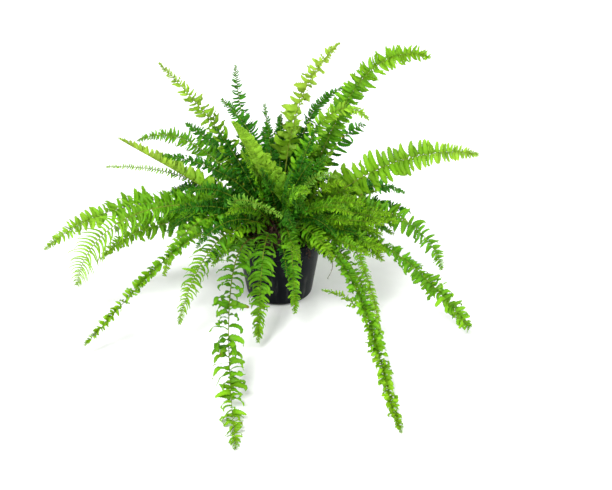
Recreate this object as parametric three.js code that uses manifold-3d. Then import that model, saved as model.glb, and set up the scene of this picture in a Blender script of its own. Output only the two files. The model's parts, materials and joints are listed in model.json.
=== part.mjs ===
// A fern in a round nursery pot: the pot, the potting mix, the brown crown, each frond and two bare runners.
// Millimetres, +Z up. The origin is the middle of the pot's underside, which stands on the surface.
// -Y faces the viewer and +X is to the right.

import * as THREE from "three";
import { mergeVertices } from "three/addons/utils/BufferGeometryUtils.js";
import Module from "manifold-3d";

const wasm = await Module();
wasm.setup();

// ---- driving dimensions ----

const POT_HEIGHT = 114;
const RIM_RADIUS = 75;
const COLLAR_HEIGHT = 19;
const COLLAR_STEP = 3;
const BASE_RADIUS = 56;
const WALL = 1.6;
const FLOOR_THICKNESS = 2;
const FOOT_ROUNDING = 5;
const POT_SEGMENTS = 48;

const HOLE_COUNT = 8;
const HOLE_RADIUS = 6;
const HOLE_CIRCLE = 48;
const HOLE_SIDES = 12;

const MIX_TOP = 96;
const MIX_HEAP = 5;
const FIT_GAP = 0.4;

const CROWN_RADIUS = 48;
const CROWN_RISE = 24;
const CROWN_BASE = MIX_TOP + MIX_HEAP + FIT_GAP;
const CROWN_SEGMENTS = 24;
const CROWN_RINGS = 6;

const STIPE_WIDTH = 3.2;
const FROND_THICKNESS = 2.6;
const BLADE_FOLD = 0.12;
const BLADE_START = 0.14;
const BLADE_FULL = 0.42;
const RESTING_HEIGHT = 3;
const SETTLE_SOFTNESS = 9;
const FROND_RINGS = 13;
const CURVE_SAMPLES = 80;

const CLEARANCE = 0.35;
const NARROWING = 0.7;
const CLEARING_PASSES = 24;

const RUNNER_DIAMETER = 1.6;
const RUNNER_SIDES = 6;
const RUNNER_STEPS = 16;

// Each frond: the compass direction and the rise at which it leaves the crown, where its tip is,
// the direction and pitch in which the tip points, and the blade's full width. Angles are in degrees,
// 0 to the right and 90 to the back. Options are how far the blade turns to the light, the compass
// direction that its back faces as it starts, how far the bend carries out before it turns, and places
// through which a restless stalk passes. Such a stalk runs smoothly through its places, and its
// directions only say where on the crown it starts.
const FRONDS = [
  // young fronds, still pale, with coiled tips
  ["frond_young_1", 140, 65, [-195, 80, 384], 161, 42, 40],
  ["frond_young_2", 72, 76, [100, 90, 415], 22, 36, 58, { turn: 0.9 }],
  // upright fronds in the middle
  ["frond_upright_1", 128, 66, [-73, 110, 377], 95, 62, 30],
  ["frond_upright_2", 150, 87, [-92, 30, 340], 168, 38, 42, { turn: 0.8 }],
  ["frond_upright_3", 104, 72, [-26, 120, 306], 105, 52, 26],
  ["frond_upright_4", 62, 66, [121, 130, 332], 20, 5, 30],
  ["frond_upright_5", 42, 52, [150, 110, 272], 20, 15, 36],
  ["frond_upright_6", 20, 80, [152, 30, 304], 5, -48, 32, { turn: 0.8 }],
  // bright fronds seen from the side or close to the front
  ["frond_lime_1", -60, 72, [-69, -60, 331], 172, 60, 56,
    { turn: 1, back: 110, via: [[15, -28, 166], [-23, -45, 234]] }],
  ["frond_lime_2", 172, 44, [-273, 60, 262], 168, 28, 40, { turn: 0.8 }],
  ["frond_lime_3", -42, 68, [97, -60, 239], -10, -15, 32, { turn: 0.9 }],
  ["frond_lime_4", -150, 66, [10, -120, 196], -10, -30, 26,
    { turn: 0.8, back: 150, via: [[-60, -48, 172], [-66, -82, 206], [-44, -106, 218], [-16, -116, 210]] }],
  // fronds that arch out wide
  ["frond_arching_1", 22, 62, [251, 60, 402], -2, -16, 46],
  ["frond_arching_2", 6, 48, [335, 20, 247], 2, -12, 76, { turn: 0.95 }],
  ["frond_arching_3", -176, 40, [-400, -20, 90], -176, -42, 68, { turn: 0.95 }],
  ["frond_arching_4", 176, 35, [-285, 10, 110], -174, -42, 54, { turn: 0.9 }],
  ["frond_arching_5", 163, 47, [-304, 80, 203], 172, -6, 20],
  ["frond_arching_6", 148, 56, [-256, 130, 233], 158, -32, 48],
  ["frond_arching_7", 134, 50, [-174, 170, 254], 140, 10, 38],
  ["frond_arching_8", -166, 46, [-334, -80, 53], -166, -78, 60, { turn: 0.9 }],
  ["frond_arching_9", 30, 40, [232, 150, 125], 28, -30, 32],
  // fronds that droop past the rim
  ["frond_drooping_1", -8, 48, [278, -40, 62], -12, -74, 52, { turn: 0.9 }],
  ["frond_drooping_2", -20, 32, [309, -157, 16], -34, -44, 40],
  ["frond_drooping_3", -32, 44, [172, -90, 104], -34, -52, 62],
  ["frond_drooping_4", -22, 52, [163, -205, 10], -84, -62, 22],
  ["frond_drooping_5", -76, 52, [29, -140, 34], -84, -80, 38, { reach: 1.3 }],
  ["frond_drooping_6", -104, 46, [-28, -192, 12], -92, -62, 44],
  ["frond_drooping_7", -142, 46, [-154, -165, 30], -126, -70, 38],
  ["frond_drooping_8", -153, 42, [-298, -205, 14], -146, -36, 26],
  ["frond_drooping_9", -160, 58, [-186, -90, 76], -150, -80, 40],
  ["frond_drooping_10", -171, 28, [-300, -40, 82], -166, -48, 48, { turn: 0.9 }],
  ["frond_drooping_11", -62, 54, [90, -124, 124], -50, -46, 46],
  ["frond_drooping_12", -134, 62, [-88, -88, 116], -134, -74, 34],
  // fronds that trail along the surface in front
  ["frond_trailing_1", -44, 26, [175, -403, -16], -84, -10, 34],
  ["frond_trailing_2", -124, 34, [-45, -436, -20], -82, -8, 52, { turn: 0.8 }],
  ["frond_curled_1", -34, 30, [72, -104, 58], 180, 0, 16,
    { via: [[84, -60, 124], [118, -84, 96], [142, -106, 56], [141, -114, 32], [126, -113, 36],
      [106, -110, 52]] }],
  // fronds at the back
  ["frond_rear_1", 62, 42, [170, 250, 60], 58, -62, 50],
  ["frond_rear_2", 80, 50, [60, 300, 40], 82, -66, 54],
  ["frond_rear_3", 98, 42, [-60, 320, 20], 100, -56, 48],
  ["frond_rear_4", 118, 46, [-150, 260, 70], 120, -60, 54],
  ["frond_rear_5", 108, 24, [-90, 385, -14], 100, -10, 36],
  ["frond_rear_6", 52, 24, [195, 330, -12], 62, -12, 34],
  ["frond_rear_7", 142, 30, [-250, 205, 60], 142, -58, 46],
  ["frond_rear_8", 15, 24, [240, 80, 84], 14, -58, 46],
  ["frond_rear_9", 84, 66, [30, 190, 244], 84, -20, 40],
  ["frond_rear_10", 70, 28, [80, 250, 30], 72, -70, 44],
  // short fronds that fill the middle
  ["frond_inner_1", -90, 72, [-20, -80, 236], -100, 10, 40],
  ["frond_inner_2", -20, 62, [110, -30, 214], -18, -6, 42],
  ["frond_inner_3", -170, 60, [-150, -50, 206], -162, -20, 44],
  ["frond_inner_4", -58, 64, [48, -98, 190], -60, -38, 42],
  ["frond_inner_5", 178, 72, [-185, -30, 265], 172, 4, 34],
  ["frond_inner_6", -12, 76, [84, -26, 262], 0, 26, 40],
  ["frond_inner_7", 128, 82, [-20, 72, 290], 110, 60, 36],
];

// The direction that the light comes from, and how far the blades of each habit turn to face it.
const LIGHT_FROM = new THREE.Vector3(0, -0.9, 0.44);
const HABIT_TURN = {
  young: 0.75,
  upright: 0.4,
  lime: 0.6,
  arching: 0.8,
  drooping: 0.7,
  trailing: 0.5,
  curled: 0.5,
  rear: 0,
  inner: 0.9,
};

// Bare runners that spring from the crown and hang free.
const RUNNERS = [
  ["runner_1", [[46, -34, 112], [68, -58, 126], [86, -76, 112], [90, -82, 88], [82, -80, 66]]],
  ["runner_2", [[51, 3, 110], [82, 6, 122], [140, 12, 129], [196, 22, 140], [240, 34, 158]]],
];

const COLOURS = {
  pot: { color: 0x16181c, roughness: 0.5, metalness: 0 },
  mix: { color: 0x2a1c14, roughness: 0.95, metalness: 0 },
  crown: { color: 0x4a2414, roughness: 0.9, metalness: 0 },
  runner: { color: 0x8f7a45, roughness: 0.7, metalness: 0 },
  young: { color: 0xa6d62c, roughness: 0.55, metalness: 0 },
  lime: { color: 0x86c81e, roughness: 0.55, metalness: 0 },
  leaf: { color: 0x4d9a22, roughness: 0.55, metalness: 0 },
  shade: { color: 0x2e6f24, roughness: 0.55, metalness: 0 },
};

const HABIT_COLOURS = { young: "young", lime: "lime", upright: "shade", rear: "shade" };

// ---- small helpers ----

const UP = new THREE.Vector3(0, 0, 1);

function direction(compass, pitch) {
  const flat = THREE.MathUtils.degToRad(compass);
  const rise = THREE.MathUtils.degToRad(pitch);
  return new THREE.Vector3(Math.cos(rise) * Math.cos(flat), Math.cos(rise) * Math.sin(flat), Math.sin(rise));
}

function smoothStep(low, high, value) {
  const part = THREE.MathUtils.clamp((value - low) / (high - low), 0, 1);
  return part * part * (3 - 2 * part);
}

function mesh(name, geometry, colour) {
  const piece = new THREE.Mesh(geometry, new THREE.MeshStandardMaterial(COLOURS[colour]));
  piece.name = name;
  return piece;
}

function geometryFrom(points, faces) {
  const geometry = new THREE.BufferGeometry();
  const places = points.flatMap((point) => [point.x, point.y, point.z]);
  geometry.setAttribute("position", new THREE.Float32BufferAttribute(places, 3));
  geometry.setIndex(faces);
  return geometry;
}

function toSolid(geometry) {
  const bare = geometry.clone();
  bare.deleteAttribute("normal");
  bare.deleteAttribute("uv");
  const merged = mergeVertices(bare, 1e-4);
  return new wasm.Manifold(new wasm.Mesh({
    numProp: 3,
    vertProperties: Float32Array.from(merged.attributes.position.array),
    triVerts: Uint32Array.from(merged.index.array),
  }));
}

function toGeometry(solid) {
  const result = solid.getMesh();
  const geometry = new THREE.BufferGeometry();
  geometry.setAttribute("position", new THREE.BufferAttribute(result.vertProperties, result.numProp));
  geometry.setIndex(new THREE.BufferAttribute(result.triVerts, 1));
  return geometry;
}

// A lathe turns about +Y, so its profile is stood up to turn about +Z.
function turned(profile, segments) {
  const points = profile.map(([radius, height]) => new THREE.Vector2(radius, height));
  return new THREE.LatheGeometry(points, segments).rotateX(Math.PI / 2);
}

// ---- pot ----

function wallRadius(height) {
  const neck = RIM_RADIUS - COLLAR_STEP;
  return THREE.MathUtils.lerp(BASE_RADIUS, neck, height / (POT_HEIGHT - COLLAR_HEIGHT));
}

function potProfile() {
  const neckHeight = POT_HEIGHT - COLLAR_HEIGHT;
  const neck = RIM_RADIUS - COLLAR_STEP;
  const foot = BASE_RADIUS - FOOT_ROUNDING;
  return [
    [0, 0],
    [foot, 0],
    [BASE_RADIUS - 1.5, 1.5],
    [wallRadius(FOOT_ROUNDING), FOOT_ROUNDING],
    [neck, neckHeight],
    [RIM_RADIUS - 1, neckHeight + 1.5],
    [RIM_RADIUS - 0.5, POT_HEIGHT - 1.5],
    [RIM_RADIUS, POT_HEIGHT],
    [RIM_RADIUS - WALL - 1, POT_HEIGHT],
    [RIM_RADIUS - WALL - 1, neckHeight + 2],
    [neck - WALL, neckHeight],
    [wallRadius(FOOT_ROUNDING) - WALL, FOOT_ROUNDING + 1],
    [foot - WALL, FLOOR_THICKNESS],
    [0, FLOOR_THICKNESS],
  ];
}

// Drain holes stand in a ring at the edge of the base, so that its middle stays whole.
function drainHole(index) {
  const angle = (2 * Math.PI * (index + 0.5)) / HOLE_COUNT;
  const cutter = new THREE.CylinderGeometry(HOLE_RADIUS, HOLE_RADIUS, 4 * FLOOR_THICKNESS, HOLE_SIDES);
  cutter.rotateX(Math.PI / 2);
  cutter.translate(HOLE_CIRCLE * Math.cos(angle), HOLE_CIRCLE * Math.sin(angle), 0);
  return toSolid(cutter);
}

function makePot() {
  let solid = toSolid(turned(potProfile(), POT_SEGMENTS));
  for (let index = 0; index < HOLE_COUNT; index += 1) {
    solid = solid.subtract(drainHole(index));
  }
  return mesh("pot", toGeometry(solid), "pot");
}

// ---- potting mix and crown ----

// The mix stands clear of the wall by the fitting gap and is heaped towards the crown.
function makePottingMix() {
  const inset = WALL + FIT_GAP;
  const bottom = FLOOR_THICKNESS + FIT_GAP;
  const profile = [
    [0, bottom],
    [BASE_RADIUS - FOOT_ROUNDING - inset - 1, bottom],
    [wallRadius(FOOT_ROUNDING) - inset - 0.5, FOOT_ROUNDING + 2],
    [wallRadius(MIX_TOP - 3) - inset - 0.6, MIX_TOP - 3],
    [0.85 * RIM_RADIUS, MIX_TOP],
    [CROWN_RADIUS + 2, MIX_TOP + MIX_HEAP],
    [0, MIX_TOP + MIX_HEAP],
  ];
  return mesh("potting_mix", turned(profile, POT_SEGMENTS), "mix");
}

function makeCrown() {
  const profile = [[0, CROWN_BASE]];
  for (let ring = 0; ring < CROWN_RINGS; ring += 1) {
    const angle = (ring / CROWN_RINGS) * (Math.PI / 2);
    profile.push([CROWN_RADIUS * Math.cos(angle), CROWN_BASE + CROWN_RISE * Math.sin(angle)]);
  }
  profile.push([0, CROWN_BASE + CROWN_RISE]);
  return mesh("crown", turned(profile, CROWN_SEGMENTS), "crown");
}

// ---- fronds ----

// A stalk starts just clear of the domed crown, in the direction in which it leaves.
function stalkStart(launch) {
  const flat = Math.hypot(launch.x, launch.y);
  const start = new THREE.Vector3(CROWN_RADIUS * launch.x, CROWN_RADIUS * launch.y, CROWN_RISE * launch.z);
  start.z += CROWN_BASE;
  start.addScaledVector(launch, 1.5 + 2.5 * flat);
  return start;
}

// The ratio of handle to chord that makes a cubic curve follow a circle's arc of this turn.
function arcHandle(turn) {
  const angle = Math.max(turn, 0.05);
  return ((2 / 3) * Math.tan(angle / 4)) / Math.sin(angle / 2);
}

// A stalk that would hang lower than the surface lies along it.
function settled(point) {
  const above = point.z - RESTING_HEIGHT;
  const height = RESTING_HEIGHT + (above + Math.hypot(above, SETTLE_SOFTNESS)) / 2;
  const low = 1 - smoothStep(RESTING_HEIGHT, 60, point.z);
  const settledHeight = THREE.MathUtils.lerp(point.z, height, low);
  return new THREE.Vector3(point.x, point.y, settledHeight);
}

function spineCurve(from, rise, tip, heading, pitch, reach, via) {
  const launch = direction(from, rise);
  const arrival = direction(heading, pitch);
  const start = stalkStart(launch);
  const end = new THREE.Vector3(...tip);
  if (via.length > 0) {
    return new THREE.CatmullRomCurve3([start, ...via.map((place) => new THREE.Vector3(...place)), end]);
  }
  const handle = reach * arcHandle(launch.angleTo(arrival)) * start.distanceTo(end);
  const leave = start.clone().addScaledVector(launch, handle);
  const arrive = end.clone().addScaledVector(arrival, -handle);
  const bend = new THREE.CubicBezierCurve3(start, leave, arrive, end);
  return new THREE.CatmullRomCurve3(bend.getPoints(CURVE_SAMPLES).map(settled));
}

// Half of the blade's width along the frond: a bare stalk, a full middle and a long taper.
function halfWidth(along, width) {
  const opening = 0.35 + 0.65 * smoothStep(BLADE_START, BLADE_FULL, along);
  const start = smoothStep(0.05, BLADE_START, along);
  const taper = Math.pow(Math.max(0, 1 - Math.pow(along, 1.8)), 0.75);
  return Math.max(STIPE_WIDTH / 2, 0.5 * width * opening * start * taper);
}

// The angle about the stalk from the way that the blade faces to the light.
function angleToLight(across, tangent) {
  const facing = new THREE.Vector3().crossVectors(across, tangent);
  return Math.atan2(LIGHT_FROM.dot(across), LIGHT_FROM.dot(facing));
}

// The same angle, counted in whole turns so that it lies nearest to another.
function nearestAngle(angle, other) {
  return other + Math.atan2(Math.sin(angle - other), Math.cos(angle - other));
}

function makeFrondShape([name, from, rise, tip, heading, pitch, width, options = {}]) {
  const { turn = HABIT_TURN[name.split("_")[1]], back = from, reach = 1, via = [] } = options;
  const curve = spineCurve(from, rise, tip, heading, pitch, reach, via);
  const rings = [];
  let side = new THREE.Vector3().crossVectors(direction(back, 0), UP);
  let angle = 0;
  for (let ring = 0; ring < FROND_RINGS; ring += 1) {
    const along = ring / (FROND_RINGS - 1);
    const tangent = curve.getTangentAt(along);
    side = side.clone().addScaledVector(tangent, -side.dot(tangent)).normalize();
    angle = nearestAngle(angleToLight(side, tangent), angle);
    const across = side.clone().applyAxisAngle(tangent, turn * angle * smoothStep(0, 0.4, along));
    const facing = new THREE.Vector3().crossVectors(across, tangent);
    rings.push({ centre: curve.getPointAt(along), across, facing, half: halfWidth(along, width) });
  }
  return { name, rings };
}

// Each ring has the two edges of the blade, lifted a little, and its middle above and below. Above and
// below, each face is split along the same line, from the middle of one ring to the edge of the next,
// so that the two skins of a twisted blade never cross.
function frondGeometry(shape, margin) {
  const points = [];
  for (const { centre, across, facing, half } of shape.rings) {
    const lift = BLADE_FOLD * (half - STIPE_WIDTH / 2);
    const rim = half + margin;
    const thick = FROND_THICKNESS / 2 + margin;
    points.push(centre.clone().addScaledVector(across, -rim).addScaledVector(facing, lift));
    points.push(centre.clone().addScaledVector(facing, -thick));
    points.push(centre.clone().addScaledVector(across, rim).addScaledVector(facing, lift));
    points.push(centre.clone().addScaledVector(facing, thick));
  }
  const faces = [0, 1, 2, 0, 2, 3];
  for (let ring = 0; ring < shape.rings.length - 1; ring += 1) {
    for (let corner = 0; corner < 4; corner += 1) {
      const here = 4 * ring + corner;
      const next = 4 * ring + ((corner + 1) % 4);
      if (corner % 2 === 0) {
        faces.push(here, here + 4, next, next, here + 4, next + 4);
      } else {
        faces.push(here, here + 4, next + 4, here, next + 4, next);
      }
    }
  }
  const last = 4 * (shape.rings.length - 1);
  faces.push(last, last + 2, last + 1, last, last + 3, last + 2);
  return geometryFrom(points, faces);
}

function envelope(shape) {
  const geometry = frondGeometry(shape, CLEARANCE);
  const box = new THREE.Box3().setFromBufferAttribute(geometry.attributes.position);
  return { box, solid: toSolid(geometry) };
}

// Narrows the blade's rings that stand within reach of a meeting place.
function narrow(shape, place) {
  const spacing = shape.rings[0].centre.distanceTo(shape.rings[1].centre);
  for (const ring of shape.rings) {
    const reach = spacing + ring.half;
    if (ring.centre.distanceTo(place) < reach) {
      ring.half = Math.max(STIPE_WIDTH / 2, NARROWING * ring.half);
    }
  }
}

function meetingPlace(first, second) {
  if (!first.box.intersectsBox(second.box)) {
    return null;
  }
  const shared = first.solid.intersect(second.solid);
  if (shared.isEmpty() || shared.volume() < 1e-3) {
    return null;
  }
  const { min, max } = shared.boundingBox();
  return new THREE.Vector3(...min).add(new THREE.Vector3(...max)).multiplyScalar(0.5);
}

// Blades that would pass through each other are drawn in where they meet, until no two touch.
function clearFronds(shapes) {
  for (let pass = 0; pass < CLEARING_PASSES; pass += 1) {
    const envelopes = shapes.map(envelope);
    let meetings = 0;
    for (let first = 0; first < shapes.length; first += 1) {
      for (let second = first + 1; second < shapes.length; second += 1) {
        const place = meetingPlace(envelopes[first], envelopes[second]);
        if (place) {
          narrow(shapes[first], place);
          narrow(shapes[second], place);
          meetings += 1;
        }
      }
    }
    if (meetings === 0) {
      return;
    }
  }
}

function frondColour(name) {
  return HABIT_COLOURS[name.split("_")[1]] ?? "leaf";
}

function makeFronds() {
  const shapes = FRONDS.map(makeFrondShape);
  clearFronds(shapes);
  return shapes.map((shape) => mesh(shape.name, frondGeometry(shape, 0), frondColour(shape.name)));
}

// ---- runners ----

function makeRunner([name, route]) {
  const path = new THREE.CatmullRomCurve3(route.map((point) => new THREE.Vector3(...point)));
  const section = new THREE.Shape();
  section.absarc(0, 0, RUNNER_DIAMETER / 2, 0, 2 * Math.PI);
  const geometry = new THREE.ExtrudeGeometry(section, {
    steps: RUNNER_STEPS,
    curveSegments: RUNNER_SIDES,
    extrudePath: path,
  });
  return mesh(name, geometry, "runner");
}

// ---- the whole plant ----

const plant = new THREE.Group();
plant.add(makePot(), makePottingMix(), makeCrown());
plant.add(...makeFronds());
plant.add(...RUNNERS.map(makeRunner));

export default plant;
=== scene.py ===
"""A bushy sword fern in a black nursery pot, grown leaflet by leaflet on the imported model's stalks."""

import json
import math
import random

import bmesh
import bpy
import numpy as np
from mathutils import Euler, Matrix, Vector, noise

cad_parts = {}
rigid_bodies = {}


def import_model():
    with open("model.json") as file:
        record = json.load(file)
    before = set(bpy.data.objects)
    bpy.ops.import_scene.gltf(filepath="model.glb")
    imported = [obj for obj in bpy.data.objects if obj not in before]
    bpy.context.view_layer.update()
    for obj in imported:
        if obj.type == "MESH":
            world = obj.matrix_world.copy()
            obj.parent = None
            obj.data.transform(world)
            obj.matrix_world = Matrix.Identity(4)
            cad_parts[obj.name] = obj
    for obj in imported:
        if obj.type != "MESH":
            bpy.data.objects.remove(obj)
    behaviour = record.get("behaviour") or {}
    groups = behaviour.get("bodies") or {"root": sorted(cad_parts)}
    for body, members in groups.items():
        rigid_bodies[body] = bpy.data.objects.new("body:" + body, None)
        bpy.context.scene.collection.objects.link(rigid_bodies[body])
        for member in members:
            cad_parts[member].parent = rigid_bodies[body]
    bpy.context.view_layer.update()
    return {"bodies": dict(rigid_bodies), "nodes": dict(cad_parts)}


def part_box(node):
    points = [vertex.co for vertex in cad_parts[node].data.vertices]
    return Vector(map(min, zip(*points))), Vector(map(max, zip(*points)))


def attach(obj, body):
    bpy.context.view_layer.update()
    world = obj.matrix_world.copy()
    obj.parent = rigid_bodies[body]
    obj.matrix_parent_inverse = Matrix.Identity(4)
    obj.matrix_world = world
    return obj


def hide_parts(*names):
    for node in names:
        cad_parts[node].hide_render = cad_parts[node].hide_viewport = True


bl_info = {
    "name": "Potted Sword Fern",
    "version": (1, 0, 0),
    "blender": (4, 5, 0),
    "location": "3D View > Sidebar > Fern",
    "description": "Grows the leaflets of a potted fern and dresses its pot, potting mix and crown",
    "category": "Object",
}

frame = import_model()
BODY = next(iter(frame["bodies"]))
MM = 0.001
FRONDS = [name for name in frame["nodes"] if name.startswith("frond_")]
SEED = 31


# ---- settings -----------------------------------------------------------------------------------


def length(name, description, default):
    """A length property in metres."""
    return bpy.props.FloatProperty(
        name=name, description=description, default=default, unit="LENGTH", min=0.0
    )


def share(name, description, default):
    """A share between nothing and all."""
    return bpy.props.FloatProperty(
        name=name, description=description, default=default, subtype="FACTOR", min=0.0, max=1.0
    )


def number_of(name, description, default):
    """A number of pieces."""
    return bpy.props.IntProperty(name=name, description=description, default=default, min=0)


def tint(name, description, default):
    """A colour property in linear values."""
    return bpy.props.FloatVectorProperty(
        name=name, description=description, default=default, subtype="COLOR", size=3, min=0.0, max=1.0
    )


class FernLeafSettings(bpy.types.PropertyGroup):
    """Sizes of the leaflets and stalks."""

    stalk_base: length("Stalk at the crown", "Diameter of a stalk where it leaves the crown", 0.0026)
    stalk_tip: length("Stalk at the tip", "Diameter of a stalk at the frond's tip", 0.0008)
    leaf_thickness: length("Leaf thickness", "Thickness of a leaflet at its middle", 0.0004)
    shortest_leaf: length("Shortest leaflet", "Length of the leaflets at the very tip", 0.0028)
    slimness: share("Leaflet width", "Width of a leaflet as a share of its length", 0.37)
    low_fronds: number_of("Low small fronds", "Short fronds that lean out over the rim", 26)
    middle_fronds: number_of("Middle small fronds", "Short fronds that fill the middle", 26)
    tall_fronds: number_of("Tall small fronds", "Short fronds that stand up in the heart", 16)
    side_fronds: number_of("Side small fronds", "Short fronds that fill the right of the front", 30)


class FernColourSettings(bpy.types.PropertyGroup):
    """Colours of the leaves, stalks, pot and mix."""

    mature: tint("Mature leaf", "Leaflets of a full-grown frond", (0.092, 0.33, 0.004))
    mature_tip: tint("Mature tip", "Leaflets near the tip of a full-grown frond", (0.28, 0.58, 0.01))
    young: tint("Young leaf", "Leaflets of a young frond", (0.19, 0.47, 0.006))
    # The young tip's green is partly the new leaflets' own and partly painted light shining through them.
    young_tip: tint("Young tip", "Leaflets near the tip of a young frond", (0.45, 0.7, 0.06))
    lime: tint("Bright leaf", "Leaflets of the bright fronds", (0.14, 0.46, 0.004))
    lime_tip: tint("Bright tip", "Leaflets near the tip of a bright frond", (0.34, 0.64, 0.03))
    # The pale greens are partly the duller underside and partly painted sheen.
    pale: tint("Pale leaf", "Leaflets of the small curly fronds", (0.08, 0.34, 0.01))
    pale_tip: tint("Pale tip", "Leaflets near the tip of a small curly frond", (0.24, 0.52, 0.045))
    # The shaded greens are painted shade, a darker copy of the leaf greens for the middle and back.
    shade: tint("Shaded leaf", "Leaflets of the fronds in the middle and behind", (0.018, 0.145, 0.002))
    shade_tip: tint("Shaded tip", "Leaflets near the tip of a frond in the middle", (0.058, 0.285, 0.005))
    stalk: tint("Stalk", "Green of a stalk out along the frond", (0.17, 0.26, 0.012))
    stalk_foot: tint("Stalk foot", "Brown of a stalk near the crown", (0.11, 0.035, 0.014))
    pot: tint("Pot", "Black moulded plastic", (0.003, 0.004, 0.006))
    pot_dust: tint("Pot dust", "Pale dust that dulls the plastic", (0.11, 0.115, 0.105))
    mix: tint("Potting mix", "Damp peat", (0.025, 0.014, 0.008))
    mix_dry: tint("Dry crumbs", "Dry bark and crumbs on top of the mix", (0.11, 0.062, 0.034))
    crown: tint("Crown", "Brown scales on the crown", (0.042, 0.018, 0.009))
    crown_dry: tint("Dry scales", "Pale edges of dry scales", (0.17, 0.09, 0.042))
    runner: tint("Runner", "Dry brown runner", (0.13, 0.08, 0.03))


class FernStageSettings(bpy.types.PropertyGroup):
    """Floor, lights and the camera's place."""

    floor: tint("Floor", "Plain pale floor", (0.9, 0.9, 0.9))
    aim: bpy.props.FloatVectorProperty(
        name="Aim", description="Point that the camera looks at", default=(0.0467, -0.0096, 0.0942),
        subtype="XYZ", unit="LENGTH",
    )
    distance: length("Distance", "From the camera to the point it looks at", 1.458)
    elevation: bpy.props.FloatProperty(
        name="Elevation", description="Angle by which the camera looks down", default=math.radians(26),
        subtype="ANGLE",
    )
    lens: bpy.props.FloatProperty(
        name="Lens", description="Focal length in millimetres", default=50.0, unit="CAMERA"
    )
    sky: bpy.props.FloatProperty(
        name="Sky", description="Strength of the even light all round", default=0.3
    )
    key: bpy.props.FloatProperty(
        name="Key light", description="Strength of the soft light above", default=3.4
    )
    side: bpy.props.FloatProperty(
        name="Side light", description="Power of the panel at the right", default=16.0, unit="POWER"
    )


SETTINGS = {
    "fern_leaf": FernLeafSettings,
    "fern_colour": FernColourSettings,
    "fern_stage": FernStageSettings,
}


# ---- how each frond grows -----------------------------------------------------------------------

# reach: length of the longest leaflets in millimetres. spacing: gap between leaflets as a share of
# their width. forward: lean towards the tip, in degrees. droop: how far a leaflet bows down. hook: how
# far its end curls under. twist: turn of a leaflet about its own length, in degrees. wave: restlessness.
# fold: how far the leaflets stand up from the blade, in degrees, and folds: the same for the left and
# the right side. breadth: how broad the leaflets are beside the usual. full_at: where along the frond
# they reach their full length, and opening: their share of it before that. fullness: how late the blade
# narrows. sickle: how far a leaflet curves towards the frond's tip. bare: share of the stalk without
# leaflets. gaps: share of the leaflets that is missing. ageing: how far the colour goes towards that of
# the tip; the lower it is, the further out along the frond the painted shade near the crown reaches.
# leaf: the skin that they have.
HABITS = {
    "young": dict(reach=28, spacing=1.1, forward=14, droop=0.12, twist=12, wave=0.8, leaf="young"),
    "upright": dict(
        reach=18, spacing=0.95, forward=14, droop=0.2, twist=16, wave=0.8, hook=0.5, leaf="shade",
    ),
    "lime": dict(reach=22, spacing=0.9, forward=12, droop=0.12, twist=8, wave=0.5, leaf="young"),
    "arching": dict(
        reach=30, spacing=0.95, forward=8, droop=0.16, twist=12, wave=0.8, hook=0.4, leaf="mature",
    ),
    "drooping": dict(
        reach=24, spacing=0.9, forward=6, droop=0.26, twist=16, wave=0.9, hook=0.8, leaf="mature",
    ),
    "trailing": dict(
        reach=24, spacing=1.1, forward=4, droop=0.4, twist=20, wave=1.0, hook=1.3, fold=22,
        leaf="mature",
    ),
    "curled": dict(
        reach=17, spacing=1.2, fullness=4.0, forward=10, droop=0.3, twist=30, wave=1.0, leaf="mature",
    ),
    "rear": dict(
        reach=28, spacing=0.95, forward=10, droop=0.2, twist=14, wave=0.8, hook=0.5, leaf="mature",
    ),
    "inner": dict(
        reach=17, spacing=0.8, forward=8, droop=0.22, twist=18, wave=1.1, hook=0.6, leaf="shade",
    ),
}

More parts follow.
